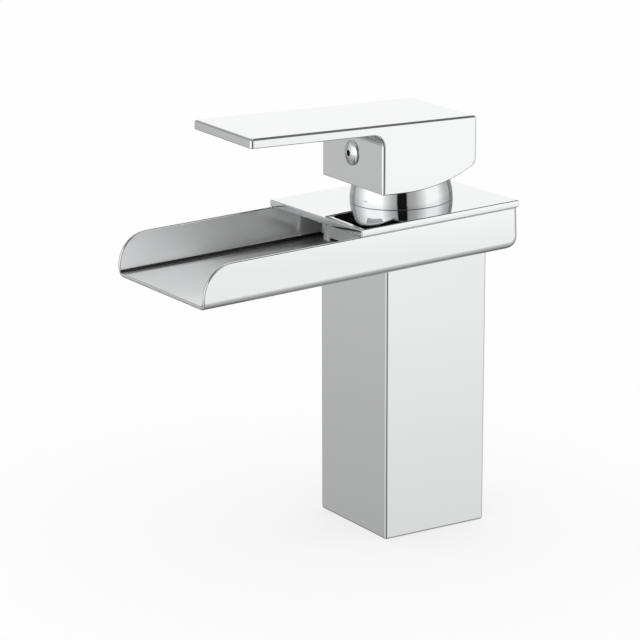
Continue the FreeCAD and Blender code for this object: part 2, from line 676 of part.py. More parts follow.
def bonnet():
    """A barrel-shaped cap: its side and its shoulder are two arcs that meet smoothly."""
    body = new_body("bonnet")
    turn = "asin(BarrelRise / BarrelRadius)"
    barrel_x = "(BonnetRadius - BarrelRadius)"
    crown_x = "(%s + (BarrelRadius - CrownRadius) * cos(%s))" % (barrel_x, turn)
    crown_y = "((BarrelRadius - CrownRadius) * sin(%s))" % turn

    def crown_height(radius):
        return "(%s + sqrt(%s ^ 2 - (BonnetMouth - %s) ^ 2))" % (crown_y, radius, crown_x)

    outside = new_sketch(body, "XZ_Plane", {"y": "PlateTop"})
    corners = [
        ("0", "0"),
        ("BonnetRadius", "0"),
        ("%s + BarrelRadius * cos(%s)" % (barrel_x, turn), "BarrelRise"),
        ("BonnetMouth", crown_height("CrownRadius")),
        ("0", crown_height("CrownRadius")),
    ]
    route(outside, corners, {1: ("BarrelRadius", "left"), 2: ("CrownRadius", "left")})
    revolve(body, outside)

    inside = new_sketch(body, "XZ_Plane", {"y": "PlateTop"})
    inner_barrel = "(BarrelRadius - BonnetWall)"
    inner_crown = "(CrownRadius - BonnetWall)"
    skirt = "NeckRadius + JointGap"
    corners = [
        ("0", "-BonnetWall"),
        (skirt, "-BonnetWall"),
        (skirt, "SkirtHeight"),
        ("%s + sqrt(%s ^ 2 - SkirtHeight ^ 2)" % (barrel_x, inner_barrel), "SkirtHeight"),
        ("%s + %s * cos(%s)" % (barrel_x, inner_barrel, turn), "%s * sin(%s)" % (inner_barrel, turn)),
        ("BonnetMouth", crown_height(inner_crown)),
        ("BonnetMouth", "BarrelRise + 2 * CrownRadius"),
        ("0", "BarrelRise + 2 * CrownRadius"),
    ]
    route(inside, corners, {3: (inner_barrel, "left"), 4: (inner_crown, "left")})
    groove(body, inside)
    return body


# ------------------------------------------------------------------------- cartridge
def cartridge_body():
    body = new_body("cartridge_body")
    wall = new_sketch(body, "XZ_Plane")
    corners = [
        ("CavityRadius", "BaseFlangeTop"),
        ("CartridgeRadius", "BaseFlangeTop"),
        ("CartridgeRadius", "ShoulderHeight"),
        ("CollarRadius", "ShoulderHeight"),
        ("CollarRadius", "CollarTop"),
        ("GuideBore", "CollarTop"),
        ("GuideBore", "CavityTop"),
        ("CavityRadius", "CavityTop"),
    ]
    route(wall, corners)
    revolve(body, wall)
    return body


def port_rings(sketch, spread, front, inlet, back, outlet):
    """Sections of three seals: two round the inlets and one round the outlet."""
    for formula in (inlet, inlet + " + SealWidth"):
        pair(sketch, spread, "-" + front, formula)
    for formula in (outlet, outlet + " + SealWidth"):
        circle(sketch, "0", back, formula)


def cartridge_base():
    """Carries each inlet from its tube to the disc's port, which lies nearer the middle."""
    body = new_body("cartridge_base")
    wall = new_sketch(body, "XZ_Plane")
    corners = [
        ("0", "CartridgeFoot"),
        ("CartridgeRadius", "CartridgeFoot"),
        ("CartridgeRadius", "BaseFlangeTop"),
        ("CavityRadius - CartridgeGap", "BaseFlangeTop"),
        ("CavityRadius - CartridgeGap", "BaseTop"),
        ("0", "BaseTop"),
    ]
    route(wall, corners)
    revolve(body, wall)
    pegs = new_sketch(body, "XY_Plane", {"z": "CartridgeFoot"})
    pair(pegs, "PegSpread", "PegBack", "PegRadius")
    pad(body, pegs, "PegLength + CartridgeFoot", back=True)

    lower = new_sketch(body, "XY_Plane", {"z": "CartridgeFoot"})
    pair(lower, "InletSpread", "-InletBack", "PortRadius")
    circle(lower, "0", "OutletBack", "OutletPort")
    pocket(body, lower, "(BaseTop - CartridgeFoot) * 0.6", back=True)
    upper = new_sketch(body, "XY_Plane", {"z": "BaseTop"})
    pair(upper, "DiscPortSpread", "-DiscPortBack", "DiscPortRadius")
    circle(upper, "0", "DiscOutletBack", "DiscOutletRadius")
    pocket(body, upper, "(BaseTop - CartridgeFoot) * 0.6")

    gap = " + SealWidth + JointGap"
    below = new_sketch(body, "XY_Plane", {"z": "CartridgeFoot"})
    pair(below, "InletSpread", "-InletBack", "PortRadius" + gap)
    circle(below, "0", "OutletBack", "OutletPort" + gap)
    pocket(body, below, "BaseSealSink", back=True)
    above = new_sketch(body, "XY_Plane", {"z": "BaseTop"})
    pair(above, "DiscPortSpread", "-DiscPortBack", "DiscPortRadius" + gap)
    circle(above, "0", "DiscOutletBack", "DiscOutletRadius" + gap)
    pocket(body, above, "DiscSealSink")
    return body


def base_seals():
    body = new_body("base_seals")
    rings = new_sketch(body, "XY_Plane")
    port_rings(rings, "InletSpread", "InletBack", "PortRadius", "OutletBack", "OutletPort")
    pad(body, rings, "CartridgeFoot + BaseSealSink")
    return body


def disc_seals():
    body = new_body("disc_seals")
    rings = new_sketch(body, "XY_Plane", {"z": "BaseTop"})
    port_rings(
        rings,
        "DiscPortSpread",
        "DiscPortBack",
        "DiscPortRadius",
        "DiscOutletBack",
        "DiscOutletRadius",
    )
    pad(body, rings, "DiscSealSink", back=True)
    return body


def fixed_disc():
    body = new_body("fixed_disc")
    plate = new_sketch(body, "XY_Plane", {"z": "BaseTop"})
    circle(plate, "0", "0", "FixedDiscRadius")
    pair(plate, "DiscPortSpread", "-DiscPortBack", "DiscPortRadius")
    circle(plate, "0", "DiscOutletBack", "DiscOutletRadius")
    pad(body, plate, "FixedDiscThickness")
    return body


def moving_disc():
    """Carries the mixing hollow that joins the inlets to the outlet."""
    body = new_body("moving_disc")
    plate = new_sketch(body, "XY_Plane", {"z": DISC_FOOT})
    circle(plate, "0", "0", "MovingDiscRadius")
    pad(body, plate, "MovingDiscThickness")
    hollow = new_sketch(body, "XY_Plane", {"z": DISC_FOOT})
    front = "-(%s + MixWidth) / 2" % DISC_TRAVEL
    rectangle(hollow, "-MixWidth / 2", "MixWidth / 2", front, "MixRear")
    pocket(body, hollow, "MixDepth", back=True)
    inside = size("MovingDiscRadius") - 1
    fillet(body, "MixCorner", lambda edge: runs_along(edge, Z_AXIS) and abs(middle(edge).x) < inside)
    holes = new_sketch(body, "XY_Plane", {"z": CARRIER_FOOT})
    pair(holes, "DrivePegSpread", "0", "DrivePegRadius + PegGap")
    pocket(body, holes, "DrivePegLength + PegGap")
    return body


def disc_carrier():
    """Slides the moving disc: the stem's ball works in its slot."""
    body = new_body("disc_carrier")
    plate = new_sketch(body, "XY_Plane", {"z": CARRIER_FOOT})
    circle(plate, "0", "0", "MovingDiscRadius")
    pad(body, plate, "CarrierPlate")
    block = new_sketch(body, "XY_Plane", {"z": CARRIER_FOOT + " + CarrierPlate"})
    low, high = BALL_Y + " - CarrierLength / 2", BALL_Y + " + CarrierLength / 2"
    rectangle(block, "-CarrierWidth / 2", "CarrierWidth / 2", low, high)
    pad(body, block, "CarrierBlock")
    slot = new_sketch(body, "XY_Plane", {"z": CARRIER_FOOT + " + CarrierPlate + CarrierBlock"})
    half = "(BallRadius + BallGap)"
    rectangle(slot, "-" + half, half, "%s - %s" % (BALL_Y, half), "%s + %s" % (BALL_Y, half))
    pocket(body, slot, "CarrierBlock + CarrierPlate - SlotFloor")
    pegs = new_sketch(body, "XY_Plane", {"z": CARRIER_FOOT})
    pair(pegs, "DrivePegSpread", "0", "DrivePegRadius")
    pad(body, pegs, "DrivePegLength", back=True)
    return body


# ------------------------------------------------------------ stem guide, pin, stem
def stem_guide():
    """Turns in the collar, holds the pin and leaves the stem a slot to rock in."""
    body = new_body("stem_guide")
    wall = new_sketch(body, "XZ_Plane")
    corners = [
        ("0", "GuideFlangeFoot"),
        ("GuideFlangeRadius", "GuideFlangeFoot"),
        ("GuideFlangeRadius", "GuideFlangeTop"),
        ("GuideRadius", "GuideFlangeTop"),
        ("GuideRadius", "RingGrooveFoot"),
        ("RingGrooveRadius", "RingGrooveFoot"),
        ("RingGrooveRadius", "RingGrooveFoot + RingGrooveHeight"),
        ("GuideRadius", "RingGrooveFoot + RingGrooveHeight"),
        ("GuideRadius", "GuideTop"),
        ("0", "GuideTop"),
    ]
    route(wall, corners)
    revolve(body, wall)

    # room for the stem: its top rocks back and its lower arm forward
    side = "(StemSquare / 2 + SlideGap)"
    open_lean = "(LiftAngle + FallAngle)"
    lean = "((StemSquare / 2 + (GuideTop - PivotRise) * sin(%s)) / cos(%s))" % (open_lean, open_lean)
    upper = new_sketch(body, "XY_Plane", {"z": "GuideTop"})
    rectangle(upper, "-" + side, side, "-(StemHub + 2 * SlideGap)", lean + " + 2 * SlideGap")
    pocket(body, upper, "GuideTop - PivotRise + StemHub")
    swing = "(StemArm * sin(%s) + BallRadius + SlideGap)" % open_lean
    lower = new_sketch(body, "XY_Plane", {"z": "GuideFlangeFoot"})
    rectangle(lower, "-" + side, side, "-" + swing, "BallRadius + SlideGap")
    pocket(body, lower, "PivotRise - GuideFlangeFoot - StemHub / 2", back=True)

    # window in the flange for the carrier's block
    reach = "(StemArm * sin(%s) + CarrierLength / 2 + 2 * SlideGap)" % open_lean
    rear = "(CarrierLength / 2 - StemArm * sin(FallAngle) + 2 * SlideGap)"
    width = "(CarrierWidth / 2 + SlideGap)"
    window = new_sketch(body, "XY_Plane", {"z": "GuideFlangeFoot"})
    rectangle(window, "-" + width, width, "-" + reach, rear)
    pocket(body, window, "GuideFlangeTop - GuideFlangeFoot", back=True)

    pin = new_sketch(body, "YZ_Plane")
    circle(pin, "0", "PivotRise", "PinRadius + PinFit")
    pocket(body, pin, "2 * GuideFlangeRadius", both=True)
    return body


def guide_ring():
    body = new_body("guide_ring")
    ring = new_sketch(body, "XY_Plane", {"z": "RingGrooveFoot"})
    circle(ring, "0", "0", "RingGrooveRadius")
    circle(ring, "0", "0", "GuideBore - PinFit")
    pad(body, ring, "RingGrooveHeight")
    return body


def pivot_pin():
    body = new_body("pivot_pin")
    end = new_sketch(body, "YZ_Plane")
    circle(end, "0", "PivotRise", "PinRadius")
    pad(body, end, "PinLength", both=True)
    return body


def stem():
    """Square above the pin, with a ball-ended arm below it."""
    body = new_body("stem")
    square = new_sketch(body, "YZ_Plane")
    rectangle(square, "-StemSquare / 2", "StemSquare / 2", "0", "StemTop")
    pad(body, square, "StemSquare", both=True)
    fillet(body, "HandleEdge", lambda edge: middle(edge).z > size("StemTop") - 0.01)
    hub = new_sketch(body, "YZ_Plane")
    circle(hub, "0", "0", "StemHub")
    pad(body, hub, "StemSquare", both=True)
    arm = new_sketch(body, "XY_Plane")
    middle_rectangle(arm, "StemNeck / 2", "StemNeck / 2")
    pad(body, arm, "StemArm", back=True)
    ball = new_sketch(body, "XZ_Plane", {"y": "-StemArm"})
    quarter = ("BallRadius", "left")
    poles = [("0", "-BallRadius"), ("BallRadius", "0"), ("0", "BallRadius")]
    route(ball, poles, {0: quarter, 1: quarter})
    revolve(body, ball)
    hole = new_sketch(body, "YZ_Plane")
    circle(hole, "0", "0", "PinRadius + PinFit")
    pocket(body, hole, "2 * StemSquare", both=True)
    return body


# ---------------------------------------------------------------------------- handle
def handle():
    """Flat lever over a hollow block, whose underside curves up to clear the bonnet."""
    body = new_body("handle")
    side = new_sketch(body, "YZ_Plane")
    foot = "HandleTop - BlockDepth"
    rise = "BlockArc - sqrt(BlockArc ^ 2 - (HandleRear + BlockArcStart) ^ 2)"
    corners = [
        ("-HandleTip", "HandleTop - LeverThickness"),
        ("-BlockFront", "HandleTop - LeverThickness"),
        ("-BlockFront", foot),
        ("-BlockArcStart", foot),
        ("HandleRear", "%s + %s" % (foot, rise)),
        ("HandleRear", "HandleTop"),
        ("-HandleTip", "HandleTop"),
    ]
    route(side, corners, {3: ("BlockArc", "left")})
    pad(body, side, "HandleWidth", both=True)

    top, tip, rear = size("HandleTop"), size("HandleTip"), size("HandleRear")
    front, under = -size("BlockFront"), size("HandleTop") - size("LeverThickness")

    def at(edge, y, z):
        return abs(middle(edge).y - y) < 0.01 and abs(middle(edge).z - z) < 0.01

    fillet(body, "BlockFillet", lambda edge: runs_along(edge, X_AXIS) and at(edge, front, under))

    def heel(edge):
        return runs_along(edge, X_AXIS) and abs(middle(edge).y - rear) < 0.01 and middle(edge).z < under

    fillet(body, "BlockHeel", heel)
    fillet(body, "HandleEdge", lambda edge: True)

    # the hollow, with a boss left standing in it
    cavity = new_sketch(body, "XY_Plane", {"z": foot + " - LeverThickness"})
    rectangle(
        cavity,
        "-(HandleWidth / 2 - SideWall)",
        "HandleWidth / 2 - SideWall",
        "-(BlockFront - FrontWall)",
        "HandleRear - SideWall",
    )
    circle(cavity, "0", "0", "BossRadius")
    pocket(body, cavity, "BlockDepth", back=True)
    inner_x = size("HandleWidth") / 2 - size("SideWall")

    def cavity_corner(edge):
        at_wall = abs(abs(middle(edge).x) - inner_x) < 0.01
        return runs_along(edge, Z_AXIS) and at_wall and edge.Length > 5

    fillet(body, "CavityCorner", cavity_corner)
    below = new_sketch(body, "XY_Plane", {"z": foot + " - LeverThickness"})
    circle(below, "0", "0", "BossRadius + SideWall")
    pocket(body, below, "BossFoot - (%s - LeverThickness)" % foot, back=True)

    socket = new_sketch(body, "XY_Plane", {"z": "BossFoot"})
    half = "(StemSquare / 2 + SocketGap)"
    middle_rectangle(socket, half, half)
    pocket(body, socket, "StemTop + SocketCrown - BossFoot", back=True)
    hole = new_sketch(body, "XZ_Plane", {"z": "BlockFront + FrontWall"})
    circle(hole, "0", "HandleTop - ScrewDrop", "ScrewRadius + SocketGap")
    pocket(body, hole, "BlockFront + FrontWall")
    return body


def handle_screw():
    """Its axis is the sketch's horizontal, from the block's front face at the origin."""
    body = new_body("handle_screw")
    side = new_sketch(body, "YZ_Plane")
    tip = "(BlockFront - StemSquare / 2 - SocketGap)"
    crown = "(HeadHeight - HeadRim)"
    corners = [
        ("-HeadHeight", "0"),
        (tip, "0"),
        (tip, "ScrewRadius"),
        ("0", "ScrewRadius"),
        ("0", "HeadRadius"),
        ("-HeadRim", "HeadRadius"),
    ]
    dome = "(HeadRadius ^ 2 + %s ^ 2) / (2 * %s)" % (crown, crown)
    route(side, corners, {5: (dome, "left")})
    revolve(body, side, "H_Axis")
    socket = new_sketch(body, "XZ_Plane", {"z": "2 * HeadHeight"})
    corner = "HexFlats / (2 * cos(30))"
    half = "HexFlats / (4 * cos(30))"
    route(
        socket,
        [
            (corner, "0"),
            (half, "HexFlats / 2"),
            ("-" + half, "HexFlats / 2"),
            ("-" + corner, "0"),
            ("-" + half, "-HexFlats / 2"),
            (half, "-HexFlats / 2"),
        ],
    )
    pocket(body, socket, "HeadHeight + HexDepth")
    return body


# ---------------------------------------------------------------------- the assembly
def shifted(x, y, z):
    return FreeCAD.Placement(FreeCAD.Vector(x, y, z), FreeCAD.Rotation())


def turned(axis, angle):
    return FreeCAD.Placement(FreeCAD.Vector(), FreeCAD.Rotation(axis, angle))


fall = math.radians(size("FallAngle"))
opening = math.radians(size("LiftAngle"))
disc_rest = size("StemArm") * (math.sin(opening + fall) - math.sin(fall)) / 2

column_frame = FreeCAD.Placement()
valve_frame = shifted(0, 0, size("SeatHeight")) * turned(X_AXIS, size("FallAngle"))
guide_frame = valve_frame * turned(Z_AXIS, size("RestTurn"))
disc_frame = guide_frame * shifted(0, disc_rest, 0)
lever_frame = guide_frame * shifted(0, 0, size("PivotRise")) * turned(X_AXIS, -size("FallAngle"))
screw_frame = lever_frame * shifted(0, -size("BlockFront"), size("HandleTop") - size("ScrewDrop"))

ASSEMBLY = [
    (column_frame, [column_shell(), base_plug(), base_seal(), chamber_floor()]),
    (column_frame, [feed_tube("hot_feed_tube", "-"), feed_tube("cold_feed_tube", "")]),
    (valve_frame, [spout_trough(), cover_plate(), valve_housing(), retaining_nut(), bonnet()]),
    (valve_frame, [cartridge_body(), cartridge_base(), base_seals(), disc_seals(), fixed_disc()]),
    (guide_frame, [stem_guide(), guide_ring(), pivot_pin()]),
    (disc_frame, [disc_carrier(), moving_disc()]),
    (lever_frame, [stem(), handle()]),
    (screw_frame, [handle_screw()]),
]
for frame, pieces in ASSEMBLY:
    for piece in pieces:
        piece.Placement = frame
document.recompute()

for item in document.Objects:
    if "Invalid" in item.State or "Error" in item.State:
        raise RuntimeError("%s failed: %s" % (item.Label, item.State))
for frame, pieces in ASSEMBLY:
    for piece in pieces:
        if piece.Shape.isNull() or not piece.Shape.isValid():
            raise RuntimeError(piece.Label + " has no valid shape")
        piece.Shape.exportStep("parts/%s.step" % piece.Label)
        box = piece.Shape.BoundBox
        print(
            "%-16s %2d solid  volume %9.1f  x %7.2f %7.2f  y %8.2f %7.2f  z %7.2f %7.2f"
            % (
                piece.Label,
                len(piece.Shape.Solids),
                piece.Shape.Volume,
                box.XMin,
                box.XMax,
                box.YMin,
                box.YMax,
                box.ZMin,
                box.ZMax,
            )
        )
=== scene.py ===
"""Looks for the waterfall basin faucet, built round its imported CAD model.

The six pieces that show are modelled again with fine edges and smooth curves: the
column, the trough, the cover plate, the bonnet, the lever and its screw. Each stands
for its CAD node and rides on the same body. All other nodes stay and get a finish.
"""

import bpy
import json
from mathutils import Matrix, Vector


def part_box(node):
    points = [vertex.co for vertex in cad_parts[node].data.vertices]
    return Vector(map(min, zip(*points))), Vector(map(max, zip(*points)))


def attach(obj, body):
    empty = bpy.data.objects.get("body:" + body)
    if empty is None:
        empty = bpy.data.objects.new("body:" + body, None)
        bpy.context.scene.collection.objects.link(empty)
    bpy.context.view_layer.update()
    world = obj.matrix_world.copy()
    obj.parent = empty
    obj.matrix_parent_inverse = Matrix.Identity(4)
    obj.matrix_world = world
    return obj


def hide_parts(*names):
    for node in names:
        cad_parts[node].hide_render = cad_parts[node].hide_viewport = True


bl_info = {
    "name": "Waterfall Basin Faucet",
    "version": (1, 0, 0),
    "blender": (4, 5, 0),
    "location": "View3D > Sidebar > Faucet",
    "description": "Models and finishes a single-lever waterfall basin faucet",
    "category": "Object",
}

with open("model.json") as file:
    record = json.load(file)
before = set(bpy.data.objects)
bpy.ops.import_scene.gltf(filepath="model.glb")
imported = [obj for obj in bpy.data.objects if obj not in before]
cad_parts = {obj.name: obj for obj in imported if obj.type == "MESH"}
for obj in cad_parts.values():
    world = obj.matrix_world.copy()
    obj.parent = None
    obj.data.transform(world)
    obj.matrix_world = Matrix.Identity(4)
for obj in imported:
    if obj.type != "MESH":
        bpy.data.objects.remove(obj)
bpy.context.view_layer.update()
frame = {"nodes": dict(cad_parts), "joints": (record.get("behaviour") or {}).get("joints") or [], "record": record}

import json
import math

import bmesh
import bpy
from bpy.props import FloatProperty, FloatVectorProperty, PointerProperty
from mathutils import Matrix, Quaternion, Vector

MM = 0.001
COLUMN_LOW, COLUMN_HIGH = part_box("column_shell")
JOINTS = {joint["name"]: joint for joint in frame["joints"]}

# The valve leans forward by the fall of the spout; the closed lever stands a little
# off the middle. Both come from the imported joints.
PIVOT = Vector(JOINTS["lever_swivel"]["pos_m"])
LEAN = Vector(JOINTS["lever_swivel"]["axis"])
FALL = math.atan2(-LEAN.y, LEAN.z)
LIFT = Vector(JOINTS["lever_lift"]["axis"])
REST_TURN = math.asin(LIFT.y / math.cos(FALL))
PIVOT_RISE = 30 * MM
VALVE = Matrix.Translation(PIVOT - PIVOT_RISE * LEAN) @ Matrix.Rotation(FALL, 4, "X")
TURN = Matrix.Rotation(-REST_TURN, 4, "Z")
LEVER = Matrix.Translation(PIVOT) @ Matrix.Rotation(FALL, 4, "X") @ TURN
LEVER = LEVER @ Matrix.Rotation(-FALL, 4, "X")

PLATE_TOP = 28 * MM
PLATE_FOOT = 25 * MM
TROUGH_FOOT = 7.7 * MM
COLUMN_HALF = (COLUMN_HIGH.x - COLUMN_LOW.x) / 2

# Small clearances and corners that nobody needs to set.
JOINT_GAP = 0.05 * MM
SOCKET_HALF = 4.05 * MM
SKIRT_RADIUS = 19.9 * MM
BORE_CORNER = 1 * MM
OUTLET_SILL = 0.6 * MM
OUTLET_LAND = 2 * MM
OUTLET_CORNER = 1 * MM
SLIT_CORNER = 0.4 * MM
HOLLOW_CORNER = 3 * MM
HEX_DEPTH = 1.6 * MM

# How fast the shade on the trough's floor widens, per length toward the column, and half
# the width over which it fades.
SHADE_SLOPE = 0.12
SHADE_BLUR = 3 * MM


# ------------------------------------------------------------------ what a user sets
def length(name, text, default):
    """A length that a user may set."""
    limits = {"min": 0.0, "precision": 4}
    return FloatProperty(name=name, description=text, default=default, unit="LENGTH", **limits)


def colour(name, text, default):
    """A colour that a user may set."""
    limits = {"size": 3, "min": 0, "max": 1}
    return FloatVectorProperty(
        name=name, description=text, default=default, subtype="COLOR", **limits
    )


def share(name, text, default):
    """A number from 0 to 1 that a user may set."""
    return FloatProperty(name=name, description=text, default=default, min=0, max=1, subtype="FACTOR")


class FaucetBodySizes(bpy.types.PropertyGroup):
    """Sizes of the column, the trough and the cover plate."""

    column_corner: length("Column corner", "Radius on the column's upright edges", 1.2 * MM)
    foot_edge: length("Foot edge", "Radius on the column's outer edge at the deck", 1.0 * MM)
    column_wall: length("Column wall", "Thickness of the column's wall", 2.5 * MM)
    outlet_width: length("Outlet width", "Recess across the column's front wall", 44.6 * MM)
    outlet_recess: length("Outlet recess", "Depth of that recess", 1.4 * MM)
    slit_inset: length("Slit inset", "Water slit, shorter than the recess at each end", 2.3 * MM)
    slit_height: length("Slit height", "Height of the water slit", 1.2 * MM)
    trough_half: length("Trough half width", "Half the outside width of the trough", 35 * MM)
    trough_rear: length("Trough rear", "Rear of the trough behind the valve axis", 35 * MM)
    lip_reach: length("Lip reach", "Lip in front of the valve axis", 115.8 * MM)
    lip_curve: length("Lip curve", "Radius of the side walls down to the lip", 13.4 * MM)
    rear_bend: length("Rear bend", "Bend at the foot of the rear wall", 5 * MM)
    fold: length("Side fold", "Outer radius of the side folds", 3.2 * MM)
    sheet: length("Sheet", "Thickness of the trough's sheet", 1.6 * MM)
    plate_front: length("Plate front", "Cover plate in front of the valve axis", 42.7 * MM)
    neck: length("Neck", "Radius of the hole through the cover plate", 19.9 * MM)
    soft_edge: length("Soft edge", "Polished-over edges of plate and trough", 0.5 * MM)


class FaucetBonnetSizes(bpy.types.PropertyGroup):
    """Sizes of the bonnet, a barrel with a rounded shoulder."""

    radius: length("Radius", "Bonnet at the cover plate", 21.6 * MM)
    barrel: length("Barrel", "Radius of the curve of the side", 29 * MM)
    barrel_rise: length("Barrel rise", "Height at which the side turns over", 9 * MM)
    crown: length("Crown", "Radius of the shoulder", 9 * MM)
    mouth: length("Mouth", "Opening round the stem", 14.5 * MM)
    wall: length("Wall", "Thickness of the bonnet", 1.1 * MM)
    skirt: length("Skirt", "Height of the threaded skirt", 3.5 * MM)


class FaucetLeverSizes(bpy.types.PropertyGroup):
    """Sizes of the lever, measured from its pivot, and of its screw."""

    half_width: length("Half width", "Half the width of lever and block", 25 * MM)
    tip: length("Tip", "Tip of the lever in front of the pivot", 83.5 * MM)
    rear: length("Rear", "Rear of the block behind the pivot", 21.05 * MM)
    top: length("Top", "Top of the lever above the pivot", 35 * MM)
    plate: length("Plate", "Thickness of the flat lever", 4 * MM)
    block_front: length("Block front", "Front of the block ahead of the pivot", 23.55 * MM)
    block_foot: length("Block foot", "Foot of the block above the pivot", 6.1 * MM)
    arc_start: length("Arc start", "Start of the curved underside, ahead of the pivot", 12.7 * MM)
    arc: length("Arc", "Radius of the curved underside", 66 * MM)
    hollow: length("Hollow fillet", "Fillet between the block and the lever plate", 5 * MM)
    heel: length("Heel", "Edge radius at the block's rear foot", 1.8 * MM)
    soft_edge: length("Soft edge", "Radius on the lever's upper and upright edges", 1.35 * MM)
    lower_edge: share("Lower edges", "Radius round the underside, as a share of the soft edge", 0.35)
    side_wall: length("Side wall", "Side and rear walls of the block", 2.4 * MM)
    front_wall: length("Front wall", "Front wall of the block", 2.2 * MM)
    boss: length("Boss", "Radius of the boss round the stem", 7 * MM)
    boss_foot: length("Boss foot", "Foot of the boss above the pivot", 15.6 * MM)
    screw_rise: length("Screw", "Axis of the handle screw above the pivot", 19.6 * MM)
    screw_head: length("Screw head", "Radius of the screw's head", 5.2 * MM)
    head_side: length("Head side", "Height of the upright side of the screw's head", 0.35 * MM)
    head_crown: length("Head crown", "Radius of the domed top of the screw's head", 11 * MM)
    head_edge: length("Head edge", "Radius round the rim of the screw's head", 0.4 * MM)
    screw_shank: length("Shank", "Radius of the screw's shank", 2.5 * MM)
    hex_flats: length("Hexagon", "Hexagon socket across its flats", 2.6 * MM)


class FaucetFinishes(bpy.types.PropertyGroup):
    """Colours and polish of the finishes."""

    chrome: colour("Chrome", "Colour of the chrome plate", (0.82, 0.825, 0.83))
    polish: share("Polish", "Mean roughness of the chrome plate", 0.012)
    satin: colour("Satin", "Partly matt chrome inside the trough", (0.91, 0.915, 0.92))
    # the floor's satin is darker than the walls': painted shade
    satin_bed: colour("Satin bed", "The same on the trough's floor", (0.70, 0.705, 0.71))
    dull: colour("Dull", "Painted shade in the trough's bends", (0.035, 0.035, 0.035))
    shade_on_bed: colour("Dull bed", "Painted shade on the floor beside them", (0.20, 0.20, 0.20))
    satin_polish: share("Satin polish", "Mean roughness of that inside", 0.15)
    satin_gloss: share("Satin gloss", "How much of its light that inside mirrors", 0.45)
    # the same dark colour is also painted shade in the screw's hexagon socket
    casting_and_socket_shade: colour("Casting", "Unpolished inside of the lever's block", (0.05, 0.05, 0.05))
    brass: colour("Brass", "Turned brass inside the column", (0.78, 0.62, 0.34))
    steel: colour("Steel", "Stainless steel of stem, pin and tubes", (0.62, 0.62, 0.63))
    plastic: colour("Plastic", "Moulded pieces of the cartridge", (0.80, 0.80, 0.78))
    ceramic: colour("Ceramic", "Lapped discs", (0.86, 0.86, 0.83))
    rubber: colour("Rubber", "Seals", (0.02, 0.02, 0.02))


class FaucetStudio(bpy.types.PropertyGroup):
    """Floor, light and camera."""

    floor: colour("Floor", "Colour of the floor", (0.98, 0.98, 0.98))
    daylight: FloatProperty(
        name="Daylight", description="Strength of the world on matt surfaces", default=1.0, min=0
    )
    shine: FloatProperty(
        name="Shine", description="Strength of the studio in polished metal", default=1.22, min=0
    )
    shadow: share("Shadow", "How much of its shadow the floor keeps", 0.35)
    camera_target: FloatVectorProperty(
        name="Target",
        description="Point that the camera looks at",
        default=(-0.00964, -0.03517, 0.08869),
        unit="LENGTH",
    )
    camera_distance: length("Distance", "Camera from its target", 1.08788)
    camera_azimuth: FloatProperty(
        name="Azimuth", description="Camera round the faucet", default=math.radians(57.617), subtype="ANGLE"
    )
    camera_elevation: FloatProperty(
        name="Elevation",
        description="Camera above the horizon",
        default=math.radians(14.740),
        subtype="ANGLE",
    )
    camera_roll: FloatProperty(
        name="Roll", description="Camera about its own axis", default=math.radians(-0.148), subtype="ANGLE"
    )
    focal_length: FloatProperty(name="Lens", description="Focal length, millimetres", default=146.63, min=1)


# ---------------------------------------------------------------------- bench helpers
def to_object_mode():
    if bpy.context.object and bpy.context.object.mode != "OBJECT":
        bpy.ops.object.mode_set(mode="OBJECT")


def pick(piece):
    """Choose one object and nothing else."""
    to_object_mode()
    bpy.ops.object.select_all(action="DESELECT")
    piece.select_set(True)
    bpy.context.view_layer.objects.active = piece


def begin(name, adder, **settings):
    """Add a primitive with nothing else chosen and go into edit mode on it."""
    to_object_mode()
    bpy.ops.object.select_all(action="DESELECT")
    adder(**settings)
    piece = bpy.context.active_object
    piece.name = name
    piece.data.name = name
    bpy.ops.object.transform_apply(location=True, rotation=True, scale=True)
    bpy.ops.object.mode_set(mode="EDIT")
    bpy.ops.mesh.select_all(action="DESELECT")
    return piece


def block_between(name, low, high):
    """A cuboid between two corners, in edit mode."""
    low, high = Vector(low), Vector(high)
    return begin(name, bpy.ops.mesh.primitive_cube_add, size=1, location=(low + high) / 2, scale=high - low)


def choose(kind, test):
    """Choose the vertices, edges or faces in edit mode that pass a test."""
    bpy.ops.mesh.select_mode(type={"verts": "VERT", "edges": "EDGE", "faces": "FACE"}[kind])
    bpy.ops.mesh.select_all(action="DESELECT")
    mesh = bmesh.from_edit_mesh(bpy.context.edit_object.data)
    for item in getattr(mesh, kind):
        if test(item):
            item.select_set(True)
    mesh.select_flush_mode()
    bmesh.update_edit_mesh(bpy.context.edit_object.data)


def centre_of(item):
    """The middle of an edge."""
    return (item.verts[0].co + item.verts[1].co) / 2


def way_of(item):
    """The direction of an edge, without its sign."""
    way = (item.verts[1].co - item.verts[0].co).normalized()
    return Vector((abs(way.x), abs(way.y), abs(way.z)))


def near(a, b):
    return abs(a - b) < 1e-5


def crosses(edge, y, z):
    """Whether an edge runs from side to side at a given place."""
    middle = centre_of(edge)
    return near(middle.y, y) and near(middle.z, z) and way_of(edge).x > 0.9


def round_edges(radius, segments, test):
    """Round the edges that pass a test, to a true arc."""
    choose("edges", test)
    bpy.ops.mesh.bevel(offset=radius, segments=segments, profile=0.5, affect="EDGES", clamp_overlap=False)


def use(piece, kind, name, **settings):
    """Add a modifier to a piece and apply it."""
    pick(piece)
    modifier = piece.modifiers.new(name, kind)
    for key, value in settings.items():
        setattr(modifier, key, value)
    bpy.ops.object.modifier_apply(modifier=name)


def cut_with(piece, cutter, operation="DIFFERENCE"):
    """Cut a piece with another, or join the two, and throw the other away."""
    to_object_mode()
    use(piece, "BOOLEAN", "cut", object=cutter, operation=operation, solver="EXACT")
    bpy.data.objects.remove(cutter)


def set_down(piece, place):
    """Carry a finished piece to its place, which goes into its mesh."""
    pick(piece)
    piece.matrix_world = place
    bpy.ops.object.transform_apply(location=True, rotation=True, scale=True)


